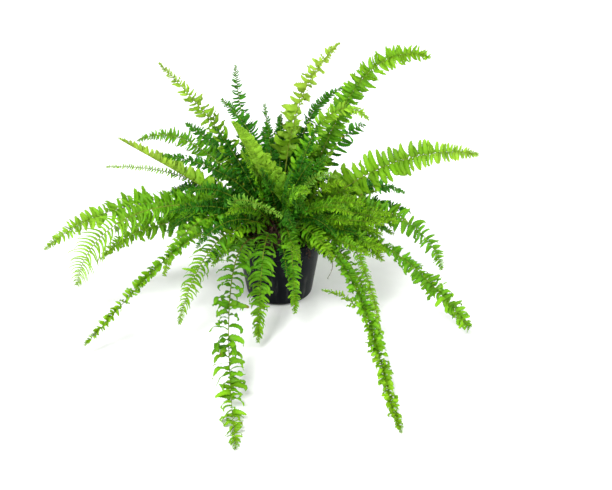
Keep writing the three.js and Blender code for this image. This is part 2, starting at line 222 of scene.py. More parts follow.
# What sets single fronds apart from their habit.
OWN_WAYS = {
    "frond_young_1": dict(reach=25, spacing=1.2, wave=1.1, twist=20, folds=(8, 20)),
    "frond_young_2": dict(
        reach=30, spacing=1.05, wave=1.1, forward=0, folds=(6, -62), breadth=1.3, full_at=0.2,
        fullness=3.0, bare=0.36, ageing=1.3,
    ),
    "frond_upright_1": dict(reach=22, spacing=1.15, wave=0.9, forward=4, breadth=0.8),
    "frond_upright_2": dict(reach=26, spacing=0.62, breadth=0.7, forward=0),
    "frond_upright_3": dict(reach=15, spacing=1.3, wave=1.2),
    "frond_upright_5": dict(
        reach=29, spacing=1.05, wave=0.9, hook=0.9, breadth=0.8, fullness=5.0, forward=4,
    ),
    "frond_upright_6": dict(reach=20, spacing=0.9, fullness=3.5, leaf="lime"),
    "frond_lime_1": dict(
        reach=38, spacing=0.5, folds=(-176, 2), wave=0.15, forward=-16, gaps=0.0, fullness=2.2,
        breadth=1.5, droop=0.04, hook=0.1, twist=5, full_at=0.2, ageing=1.35, leaf="lime",
    ),
    "frond_lime_2": dict(reach=27, spacing=0.8, folds=(-155, 10), wave=0.4, ageing=1.25),
    "frond_lime_3": dict(reach=14, spacing=1.0, hook=1.2, wave=1.1, forward=4, leaf="pale"),
    "frond_lime_4": dict(
        reach=13, spacing=1.05, breadth=0.85, leaf="pale", hook=1.3, wave=1.0, forward=0, fullness=5.0,
    ),
    "frond_arching_1": dict(
        reach=23, spacing=0.56, forward=-4, fullness=9.0, full_at=0.2, breadth=0.8, wave=0.8, hook=0.8,
        ageing=0.85,
    ),
    "frond_arching_2": dict(
        reach=37, forward=-3, droop=0.1, hook=0.6, spacing=0.8, twist=10, breadth=0.92, wave=0.4,
        sickle=0.08, ageing=0.75, leaf="young",
    ),
    "frond_arching_3": dict(
        reach=28, forward=4, spacing=0.98, breadth=0.98, wave=0.9, fullness=2.8, full_at=0.2,
        leaf="lime",
    ),
    "frond_arching_4": dict(reach=36, spacing=0.8, breadth=0.85, forward=0),
    "frond_arching_5": dict(reach=10, spacing=1.7, hook=0.8, bare=0.2, leaf="lime"),
    "frond_arching_6": dict(
        reach=22, spacing=0.8, breadth=0.78, hook=1.2, sickle=0.3, forward=-4, ageing=0.6,
    ),
    "frond_arching_7": dict(reach=22, leaf="shade"),
    "frond_arching_8": dict(
        reach=34, forward=-8, droop=0.2, spacing=0.62, fullness=6.0, full_at=0.8, hook=0.7,
        breadth=0.34, wave=0.3, sickle=0.75, leaf="lime",
    ),
    "frond_arching_9": dict(reach=20, leaf="shade"),
    "frond_drooping_1": dict(
        reach=24, spacing=0.88, wave=0.5, hook=0.7, breadth=0.74, fullness=5.0, ageing=0.6,
    ),
    "frond_drooping_2": dict(
        reach=23, spacing=0.58, opening=0.15, full_at=1.0, fullness=14.0, wave=1.2, hook=1.1,
        breadth=0.95, ageing=0.7,
    ),
    "frond_drooping_3": dict(reach=30, spacing=0.6, breadth=0.85, ageing=0.85),
    "frond_drooping_4": dict(reach=9, spacing=0.9, hook=1.0, sickle=0.35, fullness=5.0, leaf="lime"),
    "frond_drooping_5": dict(
        reach=20, spacing=0.66, wave=1.1, hook=1.2, breadth=0.85, sickle=0.3, ageing=0.7,
    ),
    "frond_drooping_6": dict(reach=27, spacing=0.62, hook=1.1, breadth=0.75, sickle=0.35, ageing=0.8),
    "frond_drooping_7": dict(reach=28, spacing=0.74, wave=0.7, hook=0.9, breadth=0.55, sickle=0.45),
    "frond_drooping_8": dict(
        reach=12, spacing=0.95, wave=1.2, fold=48, gaps=0.16, fullness=8.0, breadth=1.15,
    ),
    "frond_drooping_9": dict(reach=24, droop=0.4, spacing=1.0, leaf="lime"),
    "frond_drooping_10": dict(reach=28, spacing=0.75, breadth=0.85, ageing=0.85),
    "frond_drooping_11": dict(reach=24, spacing=0.7, breadth=0.9, ageing=0.85),
    "frond_trailing_1": dict(
        reach=16, spacing=0.72, twist=14, fold=40, forward=14, fullness=6.0, breadth=1.3, wave=1.5,
        full_at=0.6,
    ),
    "frond_trailing_2": dict(
        reach=31, spacing=0.82, breadth=0.8, wave=1.4, hook=1.3, twist=30, fullness=4.5, sickle=0.22,
        ageing=0.85,
    ),
    "frond_inner_2": dict(leaf="mature"),
}


def way_of(name):
    """How this frond grows: its habit's ways, and its own."""
    return {**HABITS[name.split("_")[1]], **OWN_WAYS.get(name, {})}


# ---- small mathematics --------------------------------------------------------------------------


def smooth_step(low, high, value):
    """0 below low, 1 above high and smooth between."""
    part = np.clip((np.asarray(value, float) - low) / (high - low), 0.0, 1.0)
    return part * part * (3.0 - 2.0 * part)


def unit(vectors):
    """Each row at length one."""
    vectors = np.asarray(vectors, float)
    return vectors / np.maximum(np.linalg.norm(vectors, axis=-1, keepdims=True), 1e-12)


def turned(vectors, axes, angles):
    """Rows of vectors turned about rows of unit axes."""
    angles = np.asarray(angles, float)[:, None]
    along = np.sum(vectors * axes, axis=1, keepdims=True) * axes
    return along + (vectors - along) * np.cos(angles) + np.cross(axes, vectors) * np.sin(angles)


def through(points, steps):
    """A smooth path through the points, with that many samples in each gap."""
    points = np.asarray(points, float)
    padded = np.vstack([2 * points[0] - points[1], points, 2 * points[-1] - points[-2]])
    path = []
    for before, here, there, after in zip(padded[:-3], padded[1:-2], padded[2:-1], padded[3:]):
        share_done = np.linspace(0, 1, steps, endpoint=False)[:, None]
        bend = 2 * here + (there - before) * share_done
        bend = bend + (2 * before - 5 * here + 4 * there - after) * share_done**2
        bend = bend + (3 * here - before - 3 * there + after) * share_done**3
        path.append(bend / 2)
    return np.vstack(path + [points[-1:]])


class Stalk:
    """A frond's midline, with the direction across its blade."""

    def __init__(self, centres, across, steps=24):
        self.points = through(centres, steps)
        gaps = np.linalg.norm(np.diff(self.points, axis=0), axis=1)
        self.reached = np.concatenate([[0.0], np.cumsum(gaps)])
        self.length = self.reached[-1]
        self.tangents = unit(np.gradient(self.points, axis=0))
        sideways = through(across, steps)
        sideways = sideways - np.sum(sideways * self.tangents, axis=1, keepdims=True) * self.tangents
        self.sideways = unit(sideways)

    def _read(self, values, places):
        """These values between the stalk's own points."""
        return np.stack([np.interp(places, self.reached, values[:, k]) for k in range(3)], axis=1)

    def at(self, places):
        """Point, tangent, direction across and direction that the blade faces, at lengths along it."""
        tangent = unit(self._read(self.tangents, places))
        across = unit(self._read(self.sideways, places))
        return self._read(self.points, places), tangent, across, np.cross(across, tangent)


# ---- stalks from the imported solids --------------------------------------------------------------


def merged_mesh(node):
    """The node's separate points, and for each the set of points that it shares an edge with."""
    mesh = frame["nodes"][node].data
    corners = np.array([vertex.co for vertex in mesh.vertices])
    points, place = np.unique(np.round(corners, 6), axis=0, return_inverse=True)
    place = place.reshape(-1)
    linked = [set() for _ in points]
    for edge in mesh.edges:
        first, second = (int(place[index]) for index in edge.vertices)
        if first != second:
            linked[first].add(second)
            linked[second].add(first)
    return points, linked


def rings_of(node):
    """The blade solid's rings of four points, from the crown to the tip."""
    points, linked = merged_mesh(node)
    low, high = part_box("crown")
    heart = np.array((low + high) / 2)
    ring = set(np.argsort(np.linalg.norm(points - heart, axis=1))[:4].tolist())
    seen = set(ring)
    rings = []
    while ring:
        rings.append(points[sorted(ring)])
        ring = set().union(*(linked[index] for index in ring)) - seen
        seen |= ring
    if any(len(ring) != 4 for ring in rings):
        raise RuntimeError(f"the solid {node} isn't a row of rings of four")
    return rings


def split_ring(ring):
    """The blade's two edges, which lie furthest apart, and its middle above and below."""
    pairs = [((0, 1), (2, 3)), ((0, 2), (1, 3)), ((0, 3), (1, 2))]
    gap = {pair: np.linalg.norm(ring[pair[0]] - ring[pair[1]]) for both in pairs for pair in both}
    edges = max(gap, key=gap.get)
    middles = [index for index in range(4) if index not in edges]
    return ring[list(edges)], ring[middles]


def stalk_of(node):
    """The midline of a frond's solid, and the direction across its blade. The blade's edges are raised
    towards the side that it faces, which tells left from right."""
    centres, across, raised = [], [], []
    for ring in rings_of(node):
        edges, middles = split_ring(ring)
        sideways = unit(edges[1] - edges[0])
        if across and np.dot(sideways, across[-1]) < 0:
            sideways = -sideways
        centres.append(middles.mean(axis=0))
        across.append(sideways)
        raised.append(edges.mean(axis=0) - middles.mean(axis=0))
    tangents = unit(np.gradient(np.array(centres), axis=0))
    facing = np.cross(np.array(across), tangents)
    if np.sum(facing * np.array(raised)) < 0:
        across = [-sideways for sideways in across]
    return Stalk(centres, across)


# ---- leaflets -----------------------------------------------------------------------------------


class LeafShape:
    """The shape that leaflets share: for each point its place across and along and its half width, and
    the faces. The upper and lower skin meet at the two edges."""

    def __init__(self, levels, columns, scallop):
        self.levels = np.array(levels)
        across, rows, under = [], [], []
        for row in range(len(levels)):
            across += columns
            rows += [row] * len(columns)
            under += [0.0] * len(columns)
        for row in range(len(levels)):
            across += columns[1:-1]
            rows += [row] * (len(columns) - 2)
            under += [1.0] * (len(columns) - 2)
        self.across, self.rows, self.under = np.array(across), np.array(rows), np.array(under)
        self.along = self.levels[self.rows]
        self.faces = self._skin(len(levels), len(columns))
        self.width = self._outline(scallop)

    def _skin(self, rows, columns):
        """Faces of both skins and of the two closed ends."""
        upper = [[row * columns + column for column in range(columns)] for row in range(rows)]
        lower = []
        for row in range(rows):
            first = rows * columns + row * (columns - 2)
            lower.append([upper[row][0], *range(first, first + columns - 2), upper[row][-1]])
        faces = []
        for row in range(rows - 1):
            for column in range(columns - 1):
                top, low, over, beneath = upper[row], lower[row], upper[row + 1], lower[row + 1]
                faces.append((top[column], top[column + 1], over[column + 1], over[column]))
                faces.append((low[column + 1], low[column], beneath[column], beneath[column + 1]))
        for row, flip in ((0, True), (rows - 1, False)):
            for column in range(columns - 1):
                top, low = upper[row][column : column + 2], lower[row][column : column + 2]
                cap = list(dict.fromkeys([*top, *reversed(low)]))
                faces.append(tuple(reversed(cap)) if flip else tuple(cap))
        return faces

    def _outline(self, scallop):
        """Half width at each point: a broad foot, an ear on the side towards the frond's tip, scalloped
        edges and a blunt point."""
        along, side = self.along, np.sign(self.across)
        foot = 0.7 + 0.44 * smooth_step(0.0, 0.14, along)
        point = np.sqrt(np.clip(1 - along**7, 0, 1)) * (1 - 0.4 * along)
        ear = np.where(side > 0, 0.5 * np.exp(-(((along - 0.08) / 0.09) ** 2)), 0.0)
        cut = np.where(side < 0, -0.24 * np.exp(-((along / 0.12) ** 2)), 0.0)
        teeth = np.where(self.rows % 2 == 1, scallop, -scallop) * smooth_step(0.02, 0.2, along)
        return np.maximum((foot + ear + cut + teeth) * point, 0.05)


LARGE_LEAF = LeafShape(
    [0.0, 0.05, 0.11, 0.19, 0.26, 0.34, 0.41, 0.49, 0.56, 0.64, 0.71, 0.79, 0.86, 0.92, 0.97, 1.0],
    [-1.0, -0.5, 0.0, 0.5, 1.0],
    scallop=0.12,
)
MIDDLE_LEAF = LeafShape(
    [0.0, 0.08, 0.2, 0.32, 0.44, 0.57, 0.7, 0.82, 0.93, 1.0], [-1.0, 0.0, 1.0], scallop=0.08
)
SMALL_LEAF = LeafShape([0.0, 0.15, 0.38, 0.62, 0.84, 1.0], [-1.0, 0.0, 1.0], scallop=0.03)
# Length from which a leaflet takes the large or the middle shape, and the least gap and width.
LARGE_FROM, MIDDLE_FROM = 11 * MM, 5.5 * MM
SMALLEST_GAP, SMALLEST_WIDTH = 1.9 * MM, 1.5 * MM
# Nearly a full turn in radians, for a random start.
ROUND = 6.28
# How much each measure of a leaflet varies on a calm frond, and what a restless one adds.
SPREAD = {
    "size": (0.05, 0.07), "lean": (4, 7), "fold": (3, 8), "twist": (7, 14), "sickle": (0.05, 0.08),
    "droop": (0.12, 0.25), "hook": (0.15, 0.4), "roll": (0.1, 0.4), "crisp": (0.04, 0.08),
}


class Leaflets:
    """A row of leaflets on one side of a frond: for each its foot, its directions, its size and what
    sets it apart."""

    def __init__(self, foot, outward, upward, length, width, **ways):
        self.values = dict(foot=foot, outward=outward, upward=upward, length=length, width=width, **ways)
        self.values["facing"] = np.cross(outward, upward)
        self.side = 1.0

    def on_side(self, side):
        """Sets the side, where the left mirrors the right."""
        self.side = side
        self.values["facing"] = self.values["facing"] * side
        return self

    def picked(self, chosen):
        """The values of the chosen leaflets, shaped so that they spread over the points of a leaflet."""
        return {name: value[chosen][:, None] for name, value in self.values.items()}

    def points(self, shape, chosen, thickness):
        """The shape laid on each chosen leaflet: (leaflets, points, 3)."""
        own = self.picked(chosen)
        along, across = shape.along[None, :], shape.across[None, :]
        off_midrib = np.abs(across) ** 1.5
        # The midrib bows down along its length and hooks at its end.
        middles, steps = (shape.levels[1:] + shape.levels[:-1]) / 2, np.diff(shape.levels)
        bow = own["droop"] * middles + own["hook"] * middles**3
        start = np.zeros((len(bow), 1))
        out = np.hstack([start, np.cumsum(np.cos(bow) * steps, axis=1)])[:, shape.rows] * own["length"]
        down = np.hstack([start, np.cumsum(np.sin(bow) * steps, axis=1)])[:, shape.rows] * own["length"]
        slope = own["droop"] * along + own["hook"] * along**3
        normal = np.sin(slope)[..., None] * own["outward"] + np.cos(slope)[..., None] * own["facing"]
        # The leaflet turns about its midrib, and its edges are crisped.
        turn = own["roll"] * along
        sideways = np.cos(turn)[..., None] * own["upward"] + np.sin(turn)[..., None] * normal
        skyward = np.cos(turn)[..., None] * normal - np.sin(turn)[..., None] * own["upward"]
        half = 0.5 * own["width"] * shape.width[None, :]
        ripple = np.sin(own["waves"] * along + 6.3 * own["tone"] + 0.8 * across)
        crisp = own["crisp"] * own["width"] * ripple * off_midrib
        rise = own["cup"] * half * off_midrib - 0.1 * half * (1 - np.abs(across)) + crisp
        rise = rise - shape.under[None, :] * thickness
        sweep = own["bend"] * own["length"] * along**2
        where = own["foot"] + out[..., None] * own["outward"] - down[..., None] * own["facing"]
        where = where + sweep[..., None] * own["upward"]
        return where + (across * half)[..., None] * sideways + rise[..., None] * skyward


def length_here(along, way, leaf):
    """Length of a frond's leaflets at a share of the way along it: short at the foot, then full, and then
    a long taper."""
    start = way.get("opening", 0.5)
    opening = start + (1 - start) * smooth_step(0.04, way.get("full_at", 0.34), along)
    taper = np.power(np.clip(1 - np.power(along, way.get("fullness", 2.5)), 0.0, 1.0), 0.8)
    return leaf.shortest_leaf + (way["reach"] * MM - leaf.shortest_leaf) * opening * taper


def leaf_places(stalk, way, leaf, bare):
    """Lengths along the stalk at which leaflets stand on one side, closer together towards the tip."""
    places = []
    place = bare * stalk.length
    while place < stalk.length - 1.2 * MM:
        places.append(place)
        size = float(length_here(place / stalk.length, way, leaf))
        place += max(SMALLEST_GAP, way["spacing"] * leaf.slimness * size)
    return np.array(places)


def grow_leaflets(stalk, way, leaf, chance, bare):
    """Leaflets in two rows, set alternately, each with its own lean, twist and fall."""
    places = leaf_places(stalk, way, leaf, way.get("bare", bare))
    gaps = np.gradient(places) if len(places) > 1 else np.full(len(places), 3 * MM)
    rows = []
    for side in (-1.0, 1.0):
        shift = 0.25 * side + chance.uniform(-0.1, 0.1, len(places))
        here = np.clip(places + shift * gaps, 0, stalk.length)
        here = here[chance.random(len(here)) > way.get("gaps", 0.03)]
        rows.append(leaflet_row(stalk, way, leaf, chance, here, side))
    return rows


def leaflet_row(stalk, way, leaf, chance, places, side):
    """One side's leaflets."""

    def varied(measure, usual=0.0):
        calm, restless = SPREAD[measure]
        return chance.normal(usual, calm + restless * wild, count)

    count = len(places)
    along = places / stalk.length
    point, tangent, across, facing = stalk.at(places)
    wild = way["wave"]
    size = length_here(along, way, leaf) * np.clip(varied("size", 1.0), 0.55, 1.25)
    # Neighbours lean and twist alike, in a slow wave along the frond, and each a little on its own.
    slow = np.sin(along * chance.uniform(14, 30) + chance.uniform(0, ROUND))
    lean = way["forward"] + 20 * smooth_step(0.75, 1.0, along) + 5 * wild * slow
    lean = np.radians(lean + varied("lean"))
    outward = unit(side * across * np.cos(lean)[:, None] + tangent * np.sin(lean)[:, None])
    fold = way["folds"][int(side > 0)] if "folds" in way else way.get("fold", 8)
    raised = np.radians(fold + varied("fold"))
    outward = unit(outward * np.cos(raised)[:, None] + facing * np.sin(raised)[:, None])
    upward = unit(tangent - np.sum(tangent * outward, axis=1, keepdims=True) * outward)
    twist = np.radians(way["twist"] + 8 * wild * slow + varied("twist"))
    upward = turned(upward, outward, side * twist)
    thick = (leaf.stalk_tip + (leaf.stalk_base - leaf.stalk_tip) * (1 - along)) / 2
    foot = point + side * across * (0.2 * thick)[:, None] + facing * (0.3 * thick)[:, None]
    width = size * leaf.slimness * way.get("breadth", 1.0) * chance.normal(1.0, 0.08, count)
    width = np.maximum(width, SMALLEST_WIDTH)
    row = Leaflets(
        foot, outward, upward, size, width,
        bend=varied("sickle", way.get("sickle", 0.14)),
        droop=2 * way["droop"] + varied("droop"),
        hook=way.get("hook", 0.3) + varied("hook"),
        roll=varied("roll"),
        crisp=np.abs(varied("crisp", 0.11)),
        waves=chance.uniform(8, 15, count),
        cup=chance.normal(0.08, 0.14, count),
        tone=chance.random(count), age=along * way.get("ageing", 1.0),
    )
    return row.on_side(side)


# ---- meshes -------------------------------------------------------------------------------------


PAINTED = ("leaf_across", "leaf_along", "leaf_tone", "leaf_age", "leaf_under")
LEAF_SLOT, STALK_SLOT = 0, 1


def new_object(name, data):
    """A new object that holds this data, linked to the scene."""
    made = bpy.data.objects.new(name, data)
    bpy.context.scene.collection.objects.link(made)
    return made


class MeshBuilder:
    """Collects points, faces and the values painted on them for one piece."""

    def __init__(self):
        self.points, self.faces, self.slots = [], [], []
        self.painted = {label: [] for label in PAINTED}
        self.count = 0

    def add(self, points, faces, slot, *values):
        """Adds a block of points. The values are those of PAINTED in order, one each or one per point."""
        self.points.append(points)
        self.faces += [tuple(index + self.count for index in face) for face in faces]
        self.slots += [slot] * len(faces)
        for label, value in zip(PAINTED, values):
            self.painted[label].append(np.broadcast_to(np.asarray(value, float), (len(points),)))
        self.count += len(points)

    def build(self, name, materials):
        """The finished object, with its values as named attributes."""
        mesh = bpy.data.meshes.new(name)
        mesh.from_pydata(np.vstack(self.points).tolist(), [], self.faces)
        for material in materials:
            mesh.materials.append(material)
        mesh.polygons.foreach_set("material_index", self.slots)
        mesh.polygons.foreach_set("use_smooth", [True] * len(mesh.polygons))
        for label, values in self.painted.items():
            attribute = mesh.attributes.new(label, "FLOAT", "POINT")
            attribute.data.foreach_set("value", np.concatenate(values))
        mesh.update()
        return new_object(name, mesh)


def add_leaflets(builder, row, thickness):
    """Lays a row of leaflets into the builder, with a simpler shape for the short ones. On the left side
    the shape is mirrored, so its faces turn round."""
    size = row.values["length"]
    large, small = size >= LARGE_FROM, size < MIDDLE_FROM
    for shape, wanted in ((LARGE_LEAF, large), (MIDDLE_LEAF, ~(large | small)), (SMALL_LEAF, small)):
        chosen = np.flatnonzero(wanted)
        count, number = len(chosen), len(shape.across)
        if count == 0:
            continue
        faces = shape.faces if row.side > 0 else [tuple(reversed(face)) for face in shape.faces]
        starts = range(0, number * count, number)
        every = [tuple(start + index for index in face) for start in starts for face in faces]
        builder.add(
            row.points(shape, chosen, thickness).reshape(-1, 3), every, LEAF_SLOT,
            np.tile(shape.across, count), np.tile(shape.along, count),
            np.repeat(row.values["tone"][chosen], number), np.repeat(row.values["age"][chosen], number),
            np.tile(shape.under, count),
        )


def add_tube(builder, points, radii, sides, slot, tone=0.5, across=None):
    """A closed round tube along the points, with a radius at each."""
    points = np.asarray(points, float)
    tangents = unit(np.gradient(points, axis=0))
    start = np.array([0.0, 0.0, 1.0]) if across is None else across
    if abs(np.dot(start, tangents[0])) > 0.95:
        start = np.array([1.0, 0.0, 0.0])
    angles = (2 * math.pi * np.arange(sides) / sides)[:, None]
    rings, sideways = [], start
    for point, tangent, radius in zip(points, tangents, radii):
        sideways = unit(sideways - np.dot(sideways, tangent) * tangent)
        other = np.cross(tangent, sideways)
        rings.append(point + radius * (np.cos(angles) * sideways + np.sin(angles) * other))
    faces = [tuple(reversed(range(sides)))]
    for ring in range(len(points) - 1):
        for side in range(sides):
            here, beside = ring * sides + side, ring * sides + (side + 1) % sides
            faces.append((here, beside, beside + sides, here + sides))
    last = (len(points) - 1) * sides
    faces.append(tuple(last + side for side in range(sides)))
    along = np.repeat(np.linspace(0, 1, len(points)), sides)
    builder.add(np.vstack(rings), faces, slot, 0.0, along, tone, along, 0.0)


def add_stalk(builder, stalk, leaf):
    """The frond's stalk and midrib, tapering to its tip."""
    places = np.linspace(0, stalk.length, max(16, int(stalk.length / (6 * MM))))
    point, _, across, _ = stalk.at(places)
    along = places / stalk.length
    radii = (leaf.stalk_tip + (leaf.stalk_base - leaf.stalk_tip) * (1 - along) ** 1.2) / 2
    add_tube(builder, point, radii, 6, STALK_SLOT, across=across[0])


def frond_mesh(stalk, way, leaf, chance, bare=0.12):
    """A builder that holds a frond's leaflets and its stalk."""
    builder = MeshBuilder()
    for row in grow_leaflets(stalk, way, leaf, chance, bare):
        add_leaflets(builder, row, leaf.leaf_thickness)
    add_stalk(builder, stalk, leaf)
    return builder


def add_crozier(builder, stalk, leaf):
    """The coiled end of a young frond, with tiny leaflets still rolled in."""
    point, tangent, across, facing = (value[0] for value in stalk.at(np.array([stalk.length])))
    turns, radius, tightening, buds = 1.35, 3.0 * MM, 0.72, 14
    angles = np.linspace(0, 2 * math.pi * turns, 36)
    radii = radius * (1 - tightening * angles / angles[-1])
    coil = [point]
    for before, after, bend in zip(angles[:-1], angles[1:], radii):
        heading = (before + after) / 2
        step = (math.cos(heading) * tangent + math.sin(heading) * facing) * bend * (after - before)
        coil.append(coil[-1] + step)
    coil = np.array(coil)
    add_tube(builder, coil, np.linspace(0.5, 0.8, len(coil)) * MM, 6, LEAF_SLOT, tone=0.8, across=across)
    chance = np.random.default_rng(SEED)
    add_buds(builder, coil, across, buds, leaf, chance)


def add_buds(builder, coil, across, count, leaf, chance):
    """Tiny leaflets on both sides of a coil."""
    picks = np.linspace(0, len(coil) - 2, count).astype(int)
    forward = unit(np.gradient(coil, axis=0))[picks]
    for side in (-1.0, 1.0):
        outward = unit(side * across + 0.5 * forward)
        upward = unit(forward - np.sum(forward * outward, axis=1, keepdims=True) * outward)
        bud = Leaflets(
            coil[picks], outward, upward,
            np.linspace(3.0, 1.6, count) * MM, np.linspace(1.5, 1.0, count) * MM,
            bend=np.full(count, 0.2), droop=np.full(count, 1.0), hook=np.zeros(count),
            roll=np.zeros(count), crisp=np.zeros(count), waves=np.zeros(count), cup=np.full(count, 0.2),
            tone=chance.random(count), age=np.full(count, 1.0),
        )
        add_leaflets(builder, bud.on_side(side), leaf.leaf_thickness)


# Height below which a leaf is laid down, the lowest that it comes, and how softly it does.
LYING_BELOW, LYING_LOWEST, LYING_EASE = 2.2 * MM, 0.4 * MM, 3 * MM


def keep_above_floor(piece):
    """Leaves that would pass under the surface lie on it."""
    for vertex in piece.data.vertices:
        if vertex.co.z < LYING_BELOW:
            kept = math.exp((vertex.co.z - LYING_BELOW) / LYING_EASE)
            vertex.co.z = LYING_LOWEST + (LYING_BELOW - LYING_LOWEST) * kept


# ---- materials ----------------------------------------------------------------------------------


# Which of a Mix node's sockets are the ones for colours.
MIX_FACTOR, MIX_FIRST, MIX_SECOND, MIX_RESULT = 0, 6, 7, 2


class Graph:
    """Adds and joins shader nodes in one tree."""

    def __init__(self, tree):
        self.tree = tree

    def node(self, kind, **settings):
        """A new node with these settings."""
        made = self.tree.nodes.new(kind)
        for key, value in settings.items():
            setattr(made, key, value)
        return made

    def feed(self, socket, value):
        """Joins a socket to value if that is a socket, and else sets it."""
        if isinstance(value, bpy.types.NodeSocket):
            self.tree.links.new(value, socket)
        else:
            socket.default_value = value

    def math(self, operation, *values, clamp=False):
        """The result of a Math node."""
        made = self.node("ShaderNodeMath", operation=operation, use_clamp=clamp)
        for socket, value in zip(made.inputs, values):
            self.feed(socket, value)
        return made.outputs[0]

    def times(self, first, second):
        """The product of two values."""
        return self.math("MULTIPLY", first, second)

    def plus(self, first, second, clamp=False):
        """The sum of two values."""
        return self.math("ADD", first, second, clamp=clamp)

    def minus(self, first, second):
        """The difference of two values."""
        return self.math("SUBTRACT", first, second)

    def span(self, value, low, high, out_low=0.0, out_high=1.0):
        """A value mapped smoothly from one range to another."""
        made = self.node("ShaderNodeMapRange", interpolation_type="SMOOTHSTEP")
        for socket, given in zip(made.inputs, (value, low, high, out_low, out_high)):
            self.feed(socket, given)
        return made.outputs[0]

    def blend(self, factor, first, second, kind="MIX"):
        """Two colours mixed by a factor."""
        made = self.node("ShaderNodeMix", data_type="RGBA", blend_type=kind, clamp_factor=True)
        for socket, value in zip((MIX_FACTOR, MIX_FIRST, MIX_SECOND), (factor, first, second)):
            self.feed(made.inputs[socket], value)
        return made.outputs[MIX_RESULT]

    def noise(self, place, scale, detail=3.0, roughness=0.55):
        """Even noise at this scale."""
        made = self.node("ShaderNodeTexNoise")
        given = {"Vector": place, "Scale": scale, "Detail": detail, "Roughness": roughness}
        for label, value in given.items():
            self.feed(made.inputs[label], value)
        return made.outputs[0]

    def painted(self, label):
        """A value painted on the mesh."""
        made = self.node("ShaderNodeAttribute", attribute_type="GEOMETRY", attribute_name=label)
        return made.outputs["Fac"]

    def place(self):
        """Position on the piece, which doesn't change when its body moves."""
        return self.node("ShaderNodeTexCoord").outputs["Object"]


def rgb(colour):
    """A colour with full alpha."""
    return (*colour, 1.0)


def new_group(name, inputs, outputs):
    """An empty shader node group, its graph, the sockets that it is given and those of its result."""
    tree = bpy.data.node_groups.new(name, "ShaderNodeTree")
    for label, kind, value in inputs:
        socket = tree.interface.new_socket(label, in_out="INPUT", socket_type=kind)
        socket.default_value = value
    for label, kind in outputs:
        tree.interface.new_socket(label, in_out="OUTPUT", socket_type=kind)
    given, result = tree.nodes.new("NodeGroupInput"), tree.nodes.new("NodeGroupOutput")
    return tree, Graph(tree), given.outputs, result.inputs


COLOUR, NUMBER = "NodeSocketColor", "NodeSocketFloat"


def leaf_surface_group():
    """A leaflet's colour from its age, its tone and its veins, with painted shade near its foot and near
    the crown, and its roughness and relief.
    """
    inputs = [
        ("Leaf", COLOUR, (0.1, 0.3, 0.02, 1)), ("Tip", COLOUR, (0.3, 0.5, 0.02, 1)),
        ("Under", COLOUR, (0.2, 0.42, 0.04, 1)), ("Blemish", COLOUR, (0.2, 0.09, 0.02, 1)),
        ("Variation", NUMBER, 0.5), ("Tip start", NUMBER, 0.35), ("Veins", NUMBER, 16.0),
    ]
    outputs = [("Colour", COLOUR), ("Roughness", NUMBER), ("Height", NUMBER)]
    tree, graph, given, result = new_group("Leaf surface", inputs, outputs)
    across, along = graph.painted("leaf_across"), graph.painted("leaf_along")
    tone, age, under = graph.painted("leaf_tone"), graph.painted("leaf_age"), graph.painted("leaf_under")
    aside = graph.math("ABSOLUTE", across)
    place = graph.place()
    broad = graph.noise(place, 22.0, 2.0)
    fine = graph.noise(place, 900.0, 4.0, 0.6)
    # From the leaf's own green to the paler green of the tip.
    ageing = graph.span(age, given["Tip start"], 1.0)
    edging = graph.times(graph.span(along, 0.35, 1.0), 0.3)
    shift = graph.times(graph.minus(tone, 0.5), given["Variation"])
    cloud = graph.times(graph.minus(broad, 0.5), given["Variation"])
    own_shift = graph.plus(shift, cloud)
    pale = graph.plus(graph.plus(ageing, edging), own_shift, clamp=True)
    green = graph.blend(pale, given["Leaf"], given["Tip"])
    # Side veins run out and forward from the midrib, which is pale too.
    run = graph.minus(along, graph.times(aside, 0.07))
    turns = graph.times(run, given["Veins"])
    beat = graph.math("SINE", graph.times(turns, 2 * math.pi))
    side_vein = graph.times(graph.span(beat, 0.72, 1.0), graph.span(aside, 1.0, 0.7))
    midrib = graph.span(aside, 0.16, 0.0)
    vein = graph.math("MAXIMUM", graph.times(side_vein, 0.35), midrib, clamp=True)
    green = graph.blend(graph.times(vein, 0.38), green, given["Tip"])
    mottle = graph.span(fine, 0.3, 0.7, 0.86, 1.12)
    green = graph.blend(1.0, green, mottle, "MULTIPLY")
    # Each leaflet has its own depth of colour. Deeper colour near the leaflet's foot is painted shade.
    # Near the crown it is painted shade and partly the darker green of older leaflets.
    depth = graph.span(graph.math("FRACT", graph.times(tone, 7.3)), 0.0, 1.0, 0.74, 1.1)
    depth = graph.times(depth, graph.span(along, 0.0, 0.45, 0.76, 1.0))
    depth = graph.times(depth, graph.span(age, 0.05, 0.38, 0.55, 1.0))
    green = graph.blend(1.0, green, depth, "MULTIPLY")
    # The lower skin is paler and duller.
    pale_under = graph.blend(0.3, green, given["Under"])
    green = graph.blend(graph.times(under, 0.8), green, pale_under)
    # A few leaflets are brown at the end, and some have brown specks.
    old = graph.times(graph.span(tone, 0.975, 0.99), graph.span(along, 0.75, 1.0))
    speck = graph.times(graph.span(graph.noise(place, 150.0, 3.0), 0.7, 0.76), 0.7)
    spoiled = graph.math("MAXIMUM", old, speck, clamp=True)
    final = graph.blend(spoiled, green, given["Blemish"])
    graph.feed(result["Colour"], final)
    rough = graph.plus(graph.span(fine, 0.2, 0.8, 0.36, 0.52), graph.times(under, 0.16))
    graph.feed(result["Roughness"], rough)
    relief = graph.minus(graph.times(fine, 0.3), graph.times(vein, 0.7))
    graph.feed(result["Height"], relief)
    return tree


